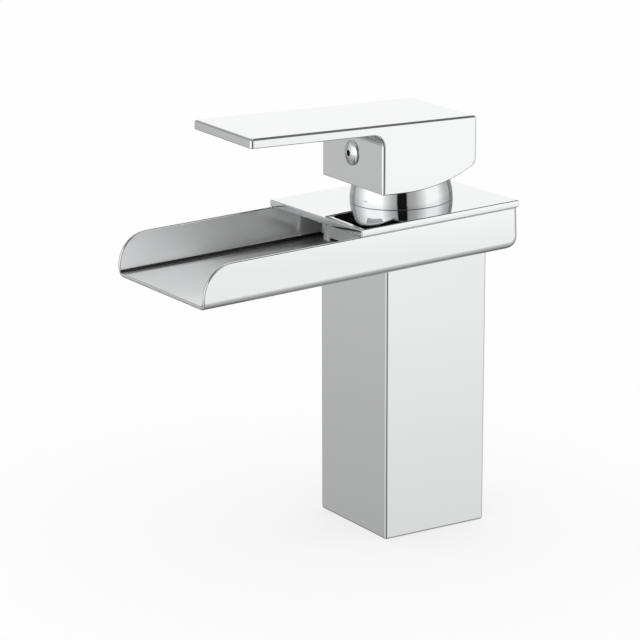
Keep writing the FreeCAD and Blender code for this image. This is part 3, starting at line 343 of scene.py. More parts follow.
def shade(piece):
    """Shade flats flat and curves smooth."""
    pick(piece)
    bpy.ops.object.shade_smooth_by_angle(angle=math.radians(40))
    use(piece, "WEIGHTED_NORMAL", "even shading", keep_sharp=True, weight=100)


def smooth(piece, soft_edge, angle=32, weighted=False, segments=3):
    """Soften the sharp edges, then shade the piece."""
    use(
        piece,
        "BEVEL",
        "soft edges",
        width=soft_edge,
        segments=segments,
        limit_method="WEIGHT" if weighted else "ANGLE",
        angle_limit=math.radians(angle),
        use_clamp_overlap=False,
        miter_outer="MITER_SHARP" if weighted else "MITER_ARC",
    )
    shade(piece)


def hand_over(piece, node, body, *finishes):
    """Let a piece stand for its CAD node, ride on its body and wear its finish."""
    piece.data.materials.clear()
    for finish in finishes:
        piece.data.materials.append(finish)
    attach(piece, body)
    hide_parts(node)


# --------------------------------------------------------------------------- finishes
def bare_finish(name, base, metallic, roughness):
    """A finish with its constants on the shader, and its node tree."""
    packed = bpy.data.materials.get(name)
    if packed:
        packed.name = name + "_cad"
    finish = bpy.data.materials.new(name)
    finish.use_nodes = True
    shader = finish.node_tree.nodes["Principled BSDF"]
    shader.inputs["Base Color"].default_value = (*base, 1)
    shader.inputs["Metallic"].default_value = metallic
    shader.inputs["Roughness"].default_value = roughness
    return finish, finish.node_tree, shader


def node(tree, kind, inputs=None, **settings):
    """A node with its settings and its unlinked inputs."""
    made = tree.nodes.new(kind)
    for key, value in settings.items():
        setattr(made, key, value)
    for key, value in (inputs or {}).items():
        made.inputs[key].default_value = value
    return made


def grain(tree, scale, detail=4.0, stretch=(1, 1, 1)):
    """Noise on object coordinates, scaled per metre and stretched along the axes."""
    place = node(tree, "ShaderNodeTexCoord")
    mapping = node(tree, "ShaderNodeMapping", {"Scale": stretch})
    noise = node(tree, "ShaderNodeTexNoise", {"Scale": scale, "Detail": detail, "Roughness": 0.55})
    tree.links.new(place.outputs["Object"], mapping.inputs["Vector"])
    tree.links.new(mapping.outputs["Vector"], noise.inputs["Vector"])
    return noise.outputs["Fac"]


def spread(tree, source, low, high, start=0.3, end=0.7):
    """Map a noise onto a range."""
    span = node(
        tree,
        "ShaderNodeMapRange",
        {"From Min": start, "From Max": end, "To Min": low, "To Max": high},
        interpolation_type="SMOOTHSTEP",
    )
    tree.links.new(source, span.inputs["Value"])
    return span.outputs["Result"]


def dent(tree, shader, source, depth, strength=1.0):
    """Bump of a given depth, in metres."""
    bump = node(tree, "ShaderNodeBump", {"Strength": strength, "Distance": depth})
    tree.links.new(source, bump.inputs["Height"])
    tree.links.new(bump.outputs["Normal"], shader.inputs["Normal"])


def polished_chrome(settings):
    """Bright chrome plate: a faint polishing haze and the slow waves of buffed metal."""
    finish, tree, shader = bare_finish("polished_chrome", settings.chrome, 1, settings.polish)
    haze = spread(tree, grain(tree, 90, 5), settings.polish * 0.6, settings.polish * 1.6)
    tree.links.new(haze, shader.inputs["Roughness"])
    dent(tree, shader, grain(tree, 22, 1), 0.00002)
    return finish


def satin_chrome(settings, name, base, gloss):
    """Partly matt chrome with fine lines along the trough. Gives its node tree and shader."""
    tree, shader = bare_finish(name, base, gloss, settings.satin_polish)[1:]
    lines = grain(tree, 500, 3, (1, 0.04, 1))
    low, high = settings.satin_polish * 0.8, settings.satin_polish * 1.2
    tree.links.new(spread(tree, lines, low, high), shader.inputs["Roughness"])
    dent(tree, shader, lines, 0.000002)
    return tree, shader


def satin_bed(settings, sizes):
    """Satin chrome with painted shade: darker than on the walls, and darker still from the bends inward, the more
    so toward the column.
    """
    tree, shader = satin_chrome(settings, "satin_bed", settings.satin_bed, settings.satin_gloss)
    place = node(tree, "ShaderNodeTexCoord")
    parts = node(tree, "ShaderNodeSeparateXYZ")
    tree.links.new(place.outputs["Object"], parts.inputs["Vector"])
    aside = node(tree, "ShaderNodeMath", operation="ABSOLUTE")
    tree.links.new(parts.outputs["X"], aside.inputs[0])
    inward = node(tree, "ShaderNodeMath", operation="MULTIPLY_ADD")
    tree.links.new(parts.outputs["Y"], inward.inputs[0])
    inward.inputs[1].default_value = SHADE_SLOPE
    tree.links.new(aside.outputs["Value"], inward.inputs[2])
    # painted shade: beyond this limit the floor turns to the shade colour, the wider the nearer the column
    limit = sizes.trough_half - sizes.fold - SHADE_SLOPE * sizes.lip_reach
    mix = node(tree, "ShaderNodeMix", data_type="RGBA")
    mix.inputs["A"].default_value = (*settings.satin_bed, 1)
    mix.inputs["B"].default_value = (*settings.shade_on_bed, 1)
    edge = spread(tree, inward.outputs["Value"], 0.0, 1.0, limit - SHADE_BLUR, limit + SHADE_BLUR)
    tree.links.new(edge, mix.inputs["Factor"])
    tree.links.new(mix.outputs["Result"], shader.inputs["Base Color"])


def dull_bend(settings):
    """Painted shade in the bends, which stands for the dark that they reflect."""
    finish, tree, shader = bare_finish("dull_bend", settings.dull, 0.6, 0.3)
    tree.links.new(spread(tree, grain(tree, 300), 0.25, 0.4), shader.inputs["Roughness"])
    return finish


def cast_inside(settings):
    """The unpolished, dark inside of the lever's block, and painted shade in the screw's hexagon socket."""
    finish, tree, shader = bare_finish("cast_inside", settings.casting_and_socket_shade, 0.4, 0.7)
    dent(tree, shader, grain(tree, 1400, 4), 0.0001)
    return finish


def turned_brass(settings):
    """Brass as it leaves the lathe, with fine tool marks round the valve axis."""
    finish, tree, shader = bare_finish("turned_brass", settings.brass, 1, 0.3)
    place = node(tree, "ShaderNodeTexCoord")
    marks = node(
        tree, "ShaderNodeTexWave", {"Scale": 900, "Distortion": 0.4}, wave_type="RINGS", rings_direction="Z"
    )
    tree.links.new(place.outputs["Object"], marks.inputs["Vector"])
    tree.links.new(spread(tree, grain(tree, 160), 0.22, 0.4), shader.inputs["Roughness"])
    dent(tree, shader, marks.outputs["Fac"], 0.00001)
    return finish


def drawn_steel(settings):
    """Stainless steel with drawing lines along its length."""
    finish, tree, shader = bare_finish("drawn_steel", settings.steel, 1, 0.28)
    lines = grain(tree, 900, 3, (1, 1, 0.03))
    tree.links.new(spread(tree, lines, 0.2, 0.38), shader.inputs["Roughness"])
    dent(tree, shader, lines, 0.00001)
    return finish


def moulded_plastic(settings):
    """Pale acetal with a fine spark-eroded mould texture."""
    finish, tree, shader = bare_finish("moulded_plastic", settings.plastic, 0, 0.45)
    tree.links.new(spread(tree, grain(tree, 500), 0.36, 0.52), shader.inputs["Roughness"])
    dent(tree, shader, grain(tree, 3000, 3), 0.00001)
    return finish


def lapped_ceramic(settings):
    """Fine alumina, lapped nearly to a mirror."""
    finish, tree, shader = bare_finish("lapped_ceramic", settings.ceramic, 0, 0.12)
    tree.links.new(spread(tree, grain(tree, 700), 0.08, 0.18), shader.inputs["Roughness"])
    return finish


def seal_rubber(settings):
    """Black nitrile with a dusty bloom."""
    finish, tree, shader = bare_finish("seal_rubber", settings.rubber, 0, 0.6)
    tree.links.new(spread(tree, grain(tree, 800), 0.5, 0.75), shader.inputs["Roughness"])
    dent(tree, shader, grain(tree, 2500), 0.00002)
    return finish


# ----------------------------------------------------------------------------- pieces
class FAUCET_OT_finishes(bpy.types.Operator):
    """Make the finishes and give the CAD nodes that stay theirs"""

    bl_idname = "faucet.finishes"
    bl_label = "Finishes"

    def execute(self, context):
        settings = context.scene.faucet_finishes
        made = {
            "polished_chrome": polished_chrome(settings),
            "turned_brass": turned_brass(settings),
            "steel": drawn_steel(settings),
            "cartridge_plastic": moulded_plastic(settings),
            "ceramic": lapped_ceramic(settings),
            "black_rubber": seal_rubber(settings),
        }
        satin_chrome(settings, "satin_wall", settings.satin, settings.satin_gloss)
        satin_chrome(settings, "satin_outlet", settings.satin, 0.1)
        satin_bed(settings, context.scene.faucet_body)
        dull_bend(settings)
        cast_inside(settings)
        for row in frame["record"]["subparts"]:
            cad_node = frame["nodes"][row["node"]]
            cad_node.data.materials.clear()
            cad_node.data.materials.append(made[row["material_slot"]])
        return {"FINISHED"}


class FAUCET_OT_column(bpy.types.Operator):
    """Model the square column with its water outlet"""

    bl_idname = "faucet.column"
    bl_label = "Column"

    def execute(self, context):
        sizes = context.scene.faucet_body
        half, wall = COLUMN_HALF, sizes.column_wall
        column = block_between("square_column", (-half, -half, 0), (half, half, COLUMN_HIGH.z + wall))
        round_edges(sizes.column_corner, 8, lambda edge: way_of(edge).z > 0.9)
        round_edges(sizes.foot_edge, 6, lambda edge: near(centre_of(edge).z, 0) and way_of(edge).z < 0.1)
        to_object_mode()
        inner = half - wall
        bore = block_between("bore", (-inner, -inner, -wall), (inner, inner, COLUMN_HIGH.z + 2 * wall))
        round_edges(BORE_CORNER, 4, lambda edge: way_of(edge).z > 0.9)
        cut_with(column, bore)

        bpy.context.view_layer.objects.active = column
        bpy.ops.object.mode_set(mode="EDIT")
        bpy.ops.mesh.select_all(action="SELECT")
        top = VALVE @ Vector((0, 0, PLATE_FOOT))
        bpy.ops.mesh.bisect(plane_co=top, plane_no=LEAN, use_fill=True, clear_outer=True)
        to_object_mode()

        across = sizes.outlet_width / 2
        sill = (VALVE @ Vector((0, -half, TROUGH_FOOT + sizes.sheet))).z + OUTLET_SILL
        head = (VALVE @ Vector((0, -half, PLATE_FOOT))).z - OUTLET_LAND
        back = -half + sizes.outlet_recess
        recess = block_between("recess", (-across, -half - wall, sill), (across, back, head))
        round_edges(OUTLET_CORNER, 4, lambda edge: way_of(edge).y > 0.9)
        cut_with(column, recess)
        across -= sizes.slit_inset
        slit_top = (across, -half + 2 * wall, sill + sizes.slit_height)
        slit = block_between("slit", (-across, -half - wall, sill), slit_top)
        round_edges(SLIT_CORNER, 4, lambda edge: way_of(edge).y > 0.9)
        cut_with(column, slit)
        smooth(column, 0.15 * MM)
        finishes = [bpy.data.materials[name] for name in ("polished_chrome", "satin_outlet")]
        hand_over(column, "column_shell", "faucet_body", *finishes)
        for face in column.data.polygons:
            middle = face.center
            if middle.z > sill and -half + 0.2 * MM < middle.y < back + 0.2 * MM:
                face.material_index = 1
        return {"FINISHED"}


class FAUCET_OT_trough(bpy.types.Operator):
    """Fold the open trough from one sheet"""

    bl_idname = "faucet.trough"
    bl_label = "Trough"

    def execute(self, context):
        sizes = context.scene.faucet_body
        half, rear, lip = sizes.trough_half, sizes.trough_rear, -sizes.lip_reach
        trough = block_between("spout_channel", (-half, lip, TROUGH_FOOT), (half, rear, PLATE_FOOT))
        round_edges(sizes.lip_curve, 28, lambda edge: crosses(edge, lip, PLATE_FOOT))
        round_edges(sizes.rear_bend, 10, lambda edge: crosses(edge, rear, TROUGH_FOOT))

        def on_fold(edge):
            middle = centre_of(edge)
            if way_of(edge).x > 0.5 or not near(abs(middle.x), half):
                return False
            low = near(middle.z, TROUGH_FOOT)
            back = middle.y > rear - sizes.rear_bend - 1e-6 and middle.z < PLATE_FOOT - 1e-5
            return low or back

        round_edges(sizes.fold, 6, on_fold)

        def is_open(face):
            middle = face.calc_center_median()
            in_lip = middle.y < lip + sizes.lip_curve and middle.z > TROUGH_FOOT + 1e-5
            faces_out = abs(face.normal.x) < 0.1 and face.normal.y < -1e-3
            return near(middle.z, PLATE_FOOT) or near(middle.y, lip) or (in_lip and faces_out)

        choose("faces", is_open)
        bpy.ops.mesh.delete(type="FACE")
        evenly = {"use_even_offset": True, "use_quality_normals": True}
        use(trough, "SOLIDIFY", "sheet", thickness=sizes.sheet, offset=-1, **evenly)

        side = COLUMN_HALF + JOINT_GAP
        hole = block_between("column_hole", (-side, -side, -2 * PLATE_TOP), (side, side, 2 * PLATE_TOP))
        round_edges(sizes.column_corner, 6, lambda edge: way_of(edge).z > 0.9)
        set_down(hole, Matrix.Rotation(-FALL, 4, "X"))
        cut_with(trough, hole)
        smooth(trough, sizes.soft_edge)
        names = ("polished_chrome", "satin_wall", "satin_bed", "dull_bend")
        hand_over(trough, "spout_trough", "faucet_body", *[bpy.data.materials[name] for name in names])

        # the insides are satin up to their rims, with painted shade on the floor and in the bends
        inner, bed = half - sizes.sheet + 0.02 * MM, TROUGH_FOOT + sizes.sheet - 0.02 * MM
        for face in trough.data.polygons:
            middle = face.center
            along = lip + 0.01 * MM < middle.y < rear - sizes.sheet
            if abs(middle.x) < inner and along and middle.z > bed:
                upright = max(abs(face.normal.x), abs(face.normal.y)) > 0.99
                face.material_index = 2 if face.normal.z > 0.99 else 1 if upright else 3
        trough.parent = None
        set_down(trough, VALVE)
        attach(trough, "faucet_body")
        return {"FINISHED"}


class FAUCET_OT_cover_plate(bpy.types.Operator):
    """Model the plate that covers the rear of the trough"""

    bl_idname = "faucet.cover_plate"
    bl_label = "Cover plate"

    def execute(self, context):
        sizes = context.scene.faucet_body
        half = sizes.trough_half
        plate = block_between(
            "top_plate", (-half, -sizes.plate_front, PLATE_FOOT), (half, sizes.trough_rear, PLATE_TOP)
        )
        to_object_mode()
        middle = (0, 0, (PLATE_FOOT + PLATE_TOP) / 2)
        hole = begin(
            "neck_hole",
            bpy.ops.mesh.primitive_cylinder_add,
            vertices=128,
            radius=sizes.neck,
            depth=4 * (PLATE_TOP - PLATE_FOOT),
            location=middle,
        )
        cut_with(plate, hole)
        smooth(plate, sizes.soft_edge)
        set_down(plate, VALVE)
        hand_over(plate, "cover_plate", "faucet_body", bpy.data.materials["polished_chrome"])
        return {"FINISHED"}


def raise_rings(profile, count):
    """Turn a profile of radius and height pairs into a shell, ring by ring."""
    radius, height = profile[0]
    shell = begin(
        "rings",
        bpy.ops.mesh.primitive_circle_add,
        vertices=count,
        radius=radius,
        location=(0, 0, height),
        fill_type="NOTHING",
    )
    bpy.ops.mesh.select_mode(type="EDGE")
    bpy.ops.mesh.select_all(action="SELECT")
    for next_radius, next_height in profile[1:]:
        bpy.ops.mesh.extrude_region_move(TRANSFORM_OT_translate={"value": (0, 0, next_height - height)})
        growth = next_radius / radius
        bpy.ops.transform.resize(value=(growth, growth, 1), center_override=(0, 0, next_height))
        radius, height = next_radius, next_height
    return shell


def arc_points(centre, radius, start, end, count):
    """Points along an arc of a profile, both ends counted. Angles in radians."""
    turn = (end - start) / (count - 1)
    return [
        (centre[0] + radius * math.cos(start + turn * n), centre[1] + radius * math.sin(start + turn * n))
        for n in range(count)
    ]


class FAUCET_OT_bonnet(bpy.types.Operator):
    """Turn the bonnet, a barrel with a rounded shoulder"""

    bl_idname = "faucet.bonnet"
    bl_label = "Bonnet"

    def execute(self, context):
        sizes = context.scene.faucet_bonnet
        turn = math.asin(sizes.barrel_rise / sizes.barrel)
        barrel_x = sizes.radius - sizes.barrel
        crown_x = barrel_x + (sizes.barrel - sizes.crown) * math.cos(turn)
        crown_z = (sizes.barrel - sizes.crown) * math.sin(turn)
        mouth = math.acos((sizes.mouth - crown_x) / sizes.crown)
        outside = arc_points((barrel_x, 0), sizes.barrel, 0, turn, 10)
        outside += arc_points((crown_x, crown_z), sizes.crown, turn, mouth, 18)[1:]
        inner_barrel, inner_crown = sizes.barrel - sizes.wall, sizes.crown - sizes.wall
        inner_mouth = math.acos((sizes.mouth - crown_x) / inner_crown)
        foot = math.asin(sizes.skirt / inner_barrel)
        inside = arc_points((crown_x, crown_z), inner_crown, inner_mouth, turn, 8)
        inside += arc_points((barrel_x, 0), inner_barrel, turn, foot, 5)[1:]
        profile = outside + inside + [(SKIRT_RADIUS, sizes.skirt), (SKIRT_RADIUS, 0)]
        bonnet = raise_rings(profile, 160)
        choose("edges", lambda edge: edge.is_boundary)
        bpy.ops.mesh.bridge_edge_loops()
        bpy.ops.mesh.select_all(action="SELECT")
        bpy.ops.mesh.remove_doubles(threshold=1e-6)
        bpy.ops.mesh.normals_make_consistent(inside=False)
        to_object_mode()
        bonnet.name = bonnet.data.name = "round_bonnet"
        smooth(bonnet, 0.3 * MM, 50)
        set_down(bonnet, VALVE @ Matrix.Translation((0, 0, PLATE_TOP)))
        hand_over(bonnet, "bonnet", "faucet_body", bpy.data.materials["polished_chrome"])
        return {"FINISHED"}


def low_or_beside(face, level):
    """Whether a face lies below a level or looks to one side."""
    return face.calc_center_median().z < level - 1e-5 or abs(face.normal.x) > 0.9


class FAUCET_OT_lever(bpy.types.Operator):
    """Model the flat lever with its hollow block"""

    bl_idname = "faucet.lever"
    bl_label = "Lever"

    def execute(self, context):
        sizes = context.scene.faucet_lever
        half, under = sizes.half_width, sizes.top - sizes.plate
        front, foot, rear = -sizes.block_front, sizes.block_foot, sizes.rear
        lever = block_between("lever_handle", (-half, -sizes.tip, under), (half, rear, sizes.top))

        # the block grows out of the underside behind its front face
        bpy.ops.mesh.select_all(action="SELECT")
        bpy.ops.mesh.bisect(plane_co=(0, front, 0), plane_no=(0, 1, 0))
        choose("faces", lambda face: face.normal.z < -0.9 and face.calc_center_median().y > front)
        bpy.ops.mesh.extrude_region_move(TRANSFORM_OT_translate={"value": (0, 0, foot - under)})

        # its underside is sliced and the slices raised along an arc
        slices = 20
        steps = [-sizes.arc_start + (rear + sizes.arc_start) * n / slices for n in range(1, slices + 1)]
        for step in [-sizes.arc_start] + steps[:-1]:
            choose("faces", lambda face: low_or_beside(face, under))
            bpy.ops.mesh.bisect(plane_co=(0, step, 0), plane_no=(0, 1, 0))
        for step in steps:
            along = step + sizes.arc_start
            rise = sizes.arc - math.sqrt(sizes.arc**2 - along**2)
            choose("verts", lambda vert: near(vert.co.z, foot) and near(vert.co.y, step))
            bpy.ops.transform.translate(value=(0, 0, rise))
        round_edges(sizes.hollow, 10, lambda edge: crosses(edge, front, under))
        heel = foot + sizes.arc - math.sqrt(sizes.arc**2 - (rear + sizes.arc_start) ** 2)
        round_edges(sizes.heel, 6, lambda edge: crosses(edge, rear, heel))
        bpy.ops.mesh.select_all(action="SELECT")
        bpy.ops.mesh.remove_doubles(threshold=1e-6)
        bpy.ops.mesh.dissolve_limited(angle_limit=math.radians(0.2))

        # upper and upright edges are well rounded, those round the underside less, and the
        # radius falls off along the fillet and the heel between them
        def edge_share(edge):
            middle = centre_of(edge)
            upright = 1 - sizes.lower_edge
            if middle.z > under + 1e-4 or way_of(edge).x > 0.5:
                return 1.0 if middle.z > under + 1e-4 else sizes.lower_edge
            if middle.y < front + 1e-5 and middle.z > under - sizes.hollow - 1e-5:
                on_fillet = min(1, (front + 1e-5 - middle.y) / sizes.hollow)
                return 1 - upright * on_fillet
            if middle.y > rear - 1e-5 or middle.y < front + 1e-5:
                return 1.0
            if middle.y > rear - sizes.heel:
                return sizes.lower_edge + upright * (middle.y - rear + sizes.heel) / sizes.heel
            return sizes.lower_edge

        mesh = bmesh.from_edit_mesh(lever.data)
        shares = {}
        for edge in mesh.edges:
            if edge.calc_face_angle(0) > math.radians(32):
                shares.setdefault(round(edge_share(edge), 3), set()).add(edge.index)
        for value, indices in shares.items():
            choose("edges", lambda edge: edge.index in indices)
            bpy.ops.transform.edge_bevelweight(value=value)
        smooth(lever, sizes.soft_edge, weighted=True, segments=5)

        # the hollow, with a boss left standing round the stem
        side, back = half - sizes.side_wall, rear - sizes.side_wall
        hollow = block_between("hollow", (-side, front + sizes.front_wall, -foot), (side, back, under))
        round_edges(HOLLOW_CORNER, 6, lambda edge: way_of(edge).z > 0.9)
        cut_with(lever, hollow)
        boss = begin(
            "boss",
            bpy.ops.mesh.primitive_cylinder_add,
            vertices=64,
            radius=sizes.boss,
            depth=under + 1 * MM - sizes.boss_foot,
            location=(0, 0, (under + 1 * MM + sizes.boss_foot) / 2),
        )
        cut_with(lever, boss, "UNION")
        socket_top = (SOCKET_HALF, SOCKET_HALF, 29 * MM)
        socket = block_between("socket", (-SOCKET_HALF, -SOCKET_HALF, 0), socket_top)
        cut_with(lever, socket)
        shank = begin(
            "screw_way",
            bpy.ops.mesh.primitive_cylinder_add,
            vertices=48,
            radius=sizes.screw_shank + JOINT_GAP,
            depth=sizes.block_front + 2 * MM,
            location=(0, -(sizes.block_front + 2 * MM) / 2, sizes.screw_rise),
            rotation=(math.pi / 2, 0, 0),
        )
        cut_with(lever, shank)
        shade(lever)
        finishes = [bpy.data.materials[name] for name in ("polished_chrome", "cast_inside")]
        hand_over(lever, "handle", "lever", *finishes)

        # everything inside the block's walls is left as cast
        for face in lever.data.polygons:
            middle = face.center
            along = front + sizes.front_wall - 1e-5 < middle.y < back + 1e-5
            if along and abs(middle.x) < side + 1e-5 and middle.z < under + 1e-5:
                low_edge = face.normal.z < -0.2 and middle.z < sizes.boss_foot - 1e-5
                face.material_index = 0 if low_edge else 1
        lever.parent = None
        set_down(lever, LEVER)
        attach(lever, "lever")
        return {"FINISHED"}


class FAUCET_OT_screw(bpy.types.Operator):
    """Turn the dome-headed handle screw and sink its hexagon"""

    bl_idname = "faucet.screw"
    bl_label = "Handle screw"

    def execute(self, context):
        sizes = context.scene.faucet_lever
        crown, edge = sizes.head_crown, sizes.head_edge
        lean = math.asin((sizes.screw_head - edge) / (crown - edge))
        drop = (crown - edge) * math.cos(lean) - sizes.head_side
        reach, shank, chamfer = sizes.block_front - SOCKET_HALF, sizes.screw_shank, 0.3 * MM
        profile = [(0.2 * MM, -reach), (shank - chamfer, -reach), (shank, -reach + chamfer)]
        profile += [(shank, 0), (sizes.screw_head, 0)]
        profile += arc_points((sizes.screw_head - edge, sizes.head_side), edge, 0, math.pi / 2 - lean, 8)
        profile += arc_points((0, -drop), crown, math.pi / 2 - lean, math.pi / 2 - 0.01, 10)[1:]
        screw = raise_rings(profile, 96)
        for _ in range(2):
            choose("edges", lambda edge: edge.is_boundary)
            bpy.ops.mesh.edge_face_add()
        bpy.ops.mesh.select_all(action="SELECT")
        bpy.ops.mesh.normals_make_consistent(inside=False)
        to_object_mode()
        screw.name = screw.data.name = "dome_screw"
        hexagon = begin(
            "hexagon",
            bpy.ops.mesh.primitive_cylinder_add,
            vertices=6,
            radius=sizes.hex_flats / math.sqrt(3),
            depth=6 * MM,
            location=(0, 0, crown - drop - HEX_DEPTH + 3 * MM),
        )
        cut_with(screw, hexagon)
        smooth(screw, 0.12 * MM, 35)
        finishes = [bpy.data.materials[name] for name in ("polished_chrome", "cast_inside")]
        hand_over(screw, "handle_screw", "lever", *finishes)
        # the hexagon socket's walls and floor get the dark inside finish: painted shade
        for face in screw.data.polygons:
            middle = face.center
            in_socket = Vector((middle.x, middle.y)).length < 0.53 * sizes.hex_flats
            if in_socket and 0 > middle.z - crown + drop + 0.2 * MM:
                face.material_index = 1 if middle.z > -2 * MM else 0
        screw.parent = None
        outward = Matrix.Translation((0, -sizes.block_front, sizes.screw_rise))
        outward = outward @ Matrix.Rotation(math.pi / 2, 4, "X")
        set_down(screw, LEVER @ outward)
        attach(screw, "lever")
        return {"FINISHED"}


# -------------------------------------------------------------------------- the studio
# What polished chrome shows of the studio, by bearing in degrees: 0 is in front of the
# spout, 90 to the right of it. A tone of 1 is white. The walls stand above the table's
# far edge, with a dark gap between two of them. The tones are fitted to what the metal
# reflects in the photograph, so they belong to that view's studio and no other.
WALL_TONES = [
    (-180, 0.66),
    (-171, 0.68),
    (-169, 0.38),
    (-166, 0.50),
    (-146, 0.52),
    (-134, 0.80),
    (-128, 0.93),
    (-114, 0.93),
    (-100, 0.70),
    (-91, 0.63),
    (-74, 0.56),
    (-71, 0.52),
    (-66, 0.70),
    (-57, 0.74),
    (-46, 0.83),
    (-34, 0.95),
    (-27, 1.0),
    (13, 1.0),
    (20, 0.88),
    (34, 0.70),
    (46, 0.60),
    (48, 0.10),
    (68, 0.10),
    (70, 0.57),
    (89, 0.66),
    (103, 0.81),
    (118, 0.96),
    (145, 0.95),
    (164, 0.76),
]
TABLE_TONES = [
    (-180, 0.66),
    (-160, 0.62),
    (-125, 0.45),
    (-100, 0.45),
    (-80, 0.55),
    (-62, 0.69),
    (-45, 0.74),
    (-15, 0.86),
    (12, 0.84),
    (33, 0.62),
    (46, 0.60),
    (48, 0.10),
    (68, 0.10),
    (70, 0.66),
    (85, 0.80),
    (108, 0.89),
    (123, 0.915),
    (140, 0.88),
    (158, 0.80),
    (170, 0.72),
]
# Light of the ceiling and of the screen overhead, and the light left on the table by
# the sine of the angle at which it is seen.
CEILING_LIGHT = 0.13
SCREEN_LIGHT = 0.62
TABLE_LIGHT = [(-1, 0.38), (-0.6, 0.58), (-0.34, 0.82), (-0.245, 1.0)]


class FAUCET_OT_studio(bpy.types.Operator):
    """Lay the floor, light the studio and set up the camera"""

    bl_idname = "faucet.studio"
    bl_label = "Studio"

    def floor(self, settings):
        to_object_mode()
        bpy.ops.object.select_all(action="DESELECT")
        bpy.ops.mesh.primitive_plane_add(size=8, location=(0, 0, -0.0002))
        floor = bpy.context.active_object
        floor.name = floor.data.name = "studio_floor"
        floor.visible_glossy = False
        finish, tree, shader = bare_finish("white_paper", settings.floor, 0, 0.9)
        shader.inputs["Specular IOR Level"].default_value = 0
        path = node(tree, "ShaderNodeLightPath")
        glow = node(tree, "ShaderNodeEmission", {"Color": (1, 1, 1, 1), "Strength": 1})
        kept = node(tree, "ShaderNodeMath", operation="MULTIPLY")
        kept.inputs[1].default_value = 1 - settings.shadow
        tree.links.new(path.outputs["Is Camera Ray"], kept.inputs[0])
        mix = node(tree, "ShaderNodeMixShader")
        output = tree.nodes["Material Output"]
        tree.links.new(kept.outputs["Value"], mix.inputs["Fac"])
        tree.links.new(shader.outputs["BSDF"], mix.inputs[1])
        tree.links.new(glow.outputs["Emission"], mix.inputs[2])
        tree.links.new(mix.outputs["Shader"], output.inputs["Surface"])
        floor.data.materials.append(finish)

    def world(self, settings):
        world = bpy.data.worlds.new("studio")
        bpy.context.scene.world = world
        world.use_nodes = True
        tree = world.node_tree
        tree.nodes.clear()

        def maths(operation, *sources):
            made = node(tree, "ShaderNodeMath", operation=operation)
            for number, source in enumerate(sources):
                if isinstance(source, (int, float)):
                    made.inputs[number].default_value = source
                else:
                    tree.links.new(source, made.inputs[number])
            return made.outputs["Value"]

        place = node(tree, "ShaderNodeTexCoord")
        parts = node(tree, "ShaderNodeSeparateXYZ")
        tree.links.new(place.outputs["Generated"], parts.inputs["Vector"])
        backward = maths("MULTIPLY", parts.outputs["Y"], -1)
        bearing = maths("ARCTAN2", parts.outputs["X"], backward)
        turn = maths("MULTIPLY_ADD", bearing, 1 / (2 * math.pi), 0.5)

        def tones_round(tones):
            """Grey by bearing, from tones as an eye sees them."""
            ring = node(tree, "ShaderNodeValToRGB")
            stops = ring.color_ramp.elements
            for number, (angle, tone) in enumerate(tones):
                place_on = (angle + 180) / 360
                stop = stops[number] if number < 1 else stops.new(place_on)
                stop.position = place_on
                stop.color = (*[tone**2.2] * 3, 1)
            stops[-1].position = 1
            stops[-1].color = stops[0].color
            tree.links.new(turn, ring.inputs["Fac"])
            return ring.outputs["Color"]

        def between(factor, low, high):
            mix = node(tree, "ShaderNodeMix", data_type="RGBA")
            tree.links.new(factor, mix.inputs["Factor"])
            for socket, source in (("A", low), ("B", high)):
                if isinstance(source, tuple):
                    mix.inputs[socket].default_value = source
                else:
                    tree.links.new(source, mix.inputs[socket])
            return mix.outputs["Result"]

        # the table up to its far edge, the walls above it, and a dark ceiling with a
        # pale screen straight overhead
        height = parts.outputs["Z"]
        above_table = spread(tree, height, 0.0, 1.0, -0.235, -0.2)
        round_about = between(above_table, tones_round(TABLE_TONES), tones_round(WALL_TONES))
        ceiling = spread(tree, height, 0.0, 1.0, 0.48, 0.62)
        overhead = spread(tree, height, 0.0, 1.0, 0.89, 0.96)
        above = between(overhead, (*[CEILING_LIGHT] * 3, 1), (*[SCREEN_LIGHT] * 3, 1))
        seen_colour = between(ceiling, round_about, above)
        under = node(tree, "ShaderNodeValToRGB")
        stops = under.color_ramp.elements
        for number, (sine, light) in enumerate(TABLE_LIGHT):
            stop = stops[number] if number < 2 else stops.new((sine + 1) / 2)
            stop.position = (sine + 1) / 2
            stop.color = (light, light, light, 1)
        tree.links.new(maths("MULTIPLY_ADD", height, 0.5, 0.5), under.inputs["Fac"])
        strength = maths("MULTIPLY", under.outputs["Color"], settings.shine)
        mirrored = node(tree, "ShaderNodeBackground")
        tree.links.new(seen_colour, mirrored.inputs["Color"])
        tree.links.new(strength, mirrored.inputs["Strength"])

        plain = node(tree, "ShaderNodeBackground", {"Color": (1, 1, 1, 1), "Strength": settings.daylight})
        white = node(tree, "ShaderNodeBackground", {"Color": (1, 1, 1, 1), "Strength": 1})
        path = node(tree, "ShaderNodeLightPath")
        shine = node(tree, "ShaderNodeMixShader")
        tree.links.new(path.outputs["Is Glossy Ray"], shine.inputs["Fac"])
        tree.links.new(plain.outputs["Background"], shine.inputs[1])
        tree.links.new(mirrored.outputs["Background"], shine.inputs[2])
        seen = node(tree, "ShaderNodeMixShader")
        tree.links.new(path.outputs["Is Camera Ray"], seen.inputs["Fac"])
        tree.links.new(shine.outputs["Shader"], seen.inputs[1])
        tree.links.new(white.outputs["Background"], seen.inputs[2])
        output = node(tree, "ShaderNodeOutputWorld")
        tree.links.new(seen.outputs["Shader"], output.inputs["Surface"])

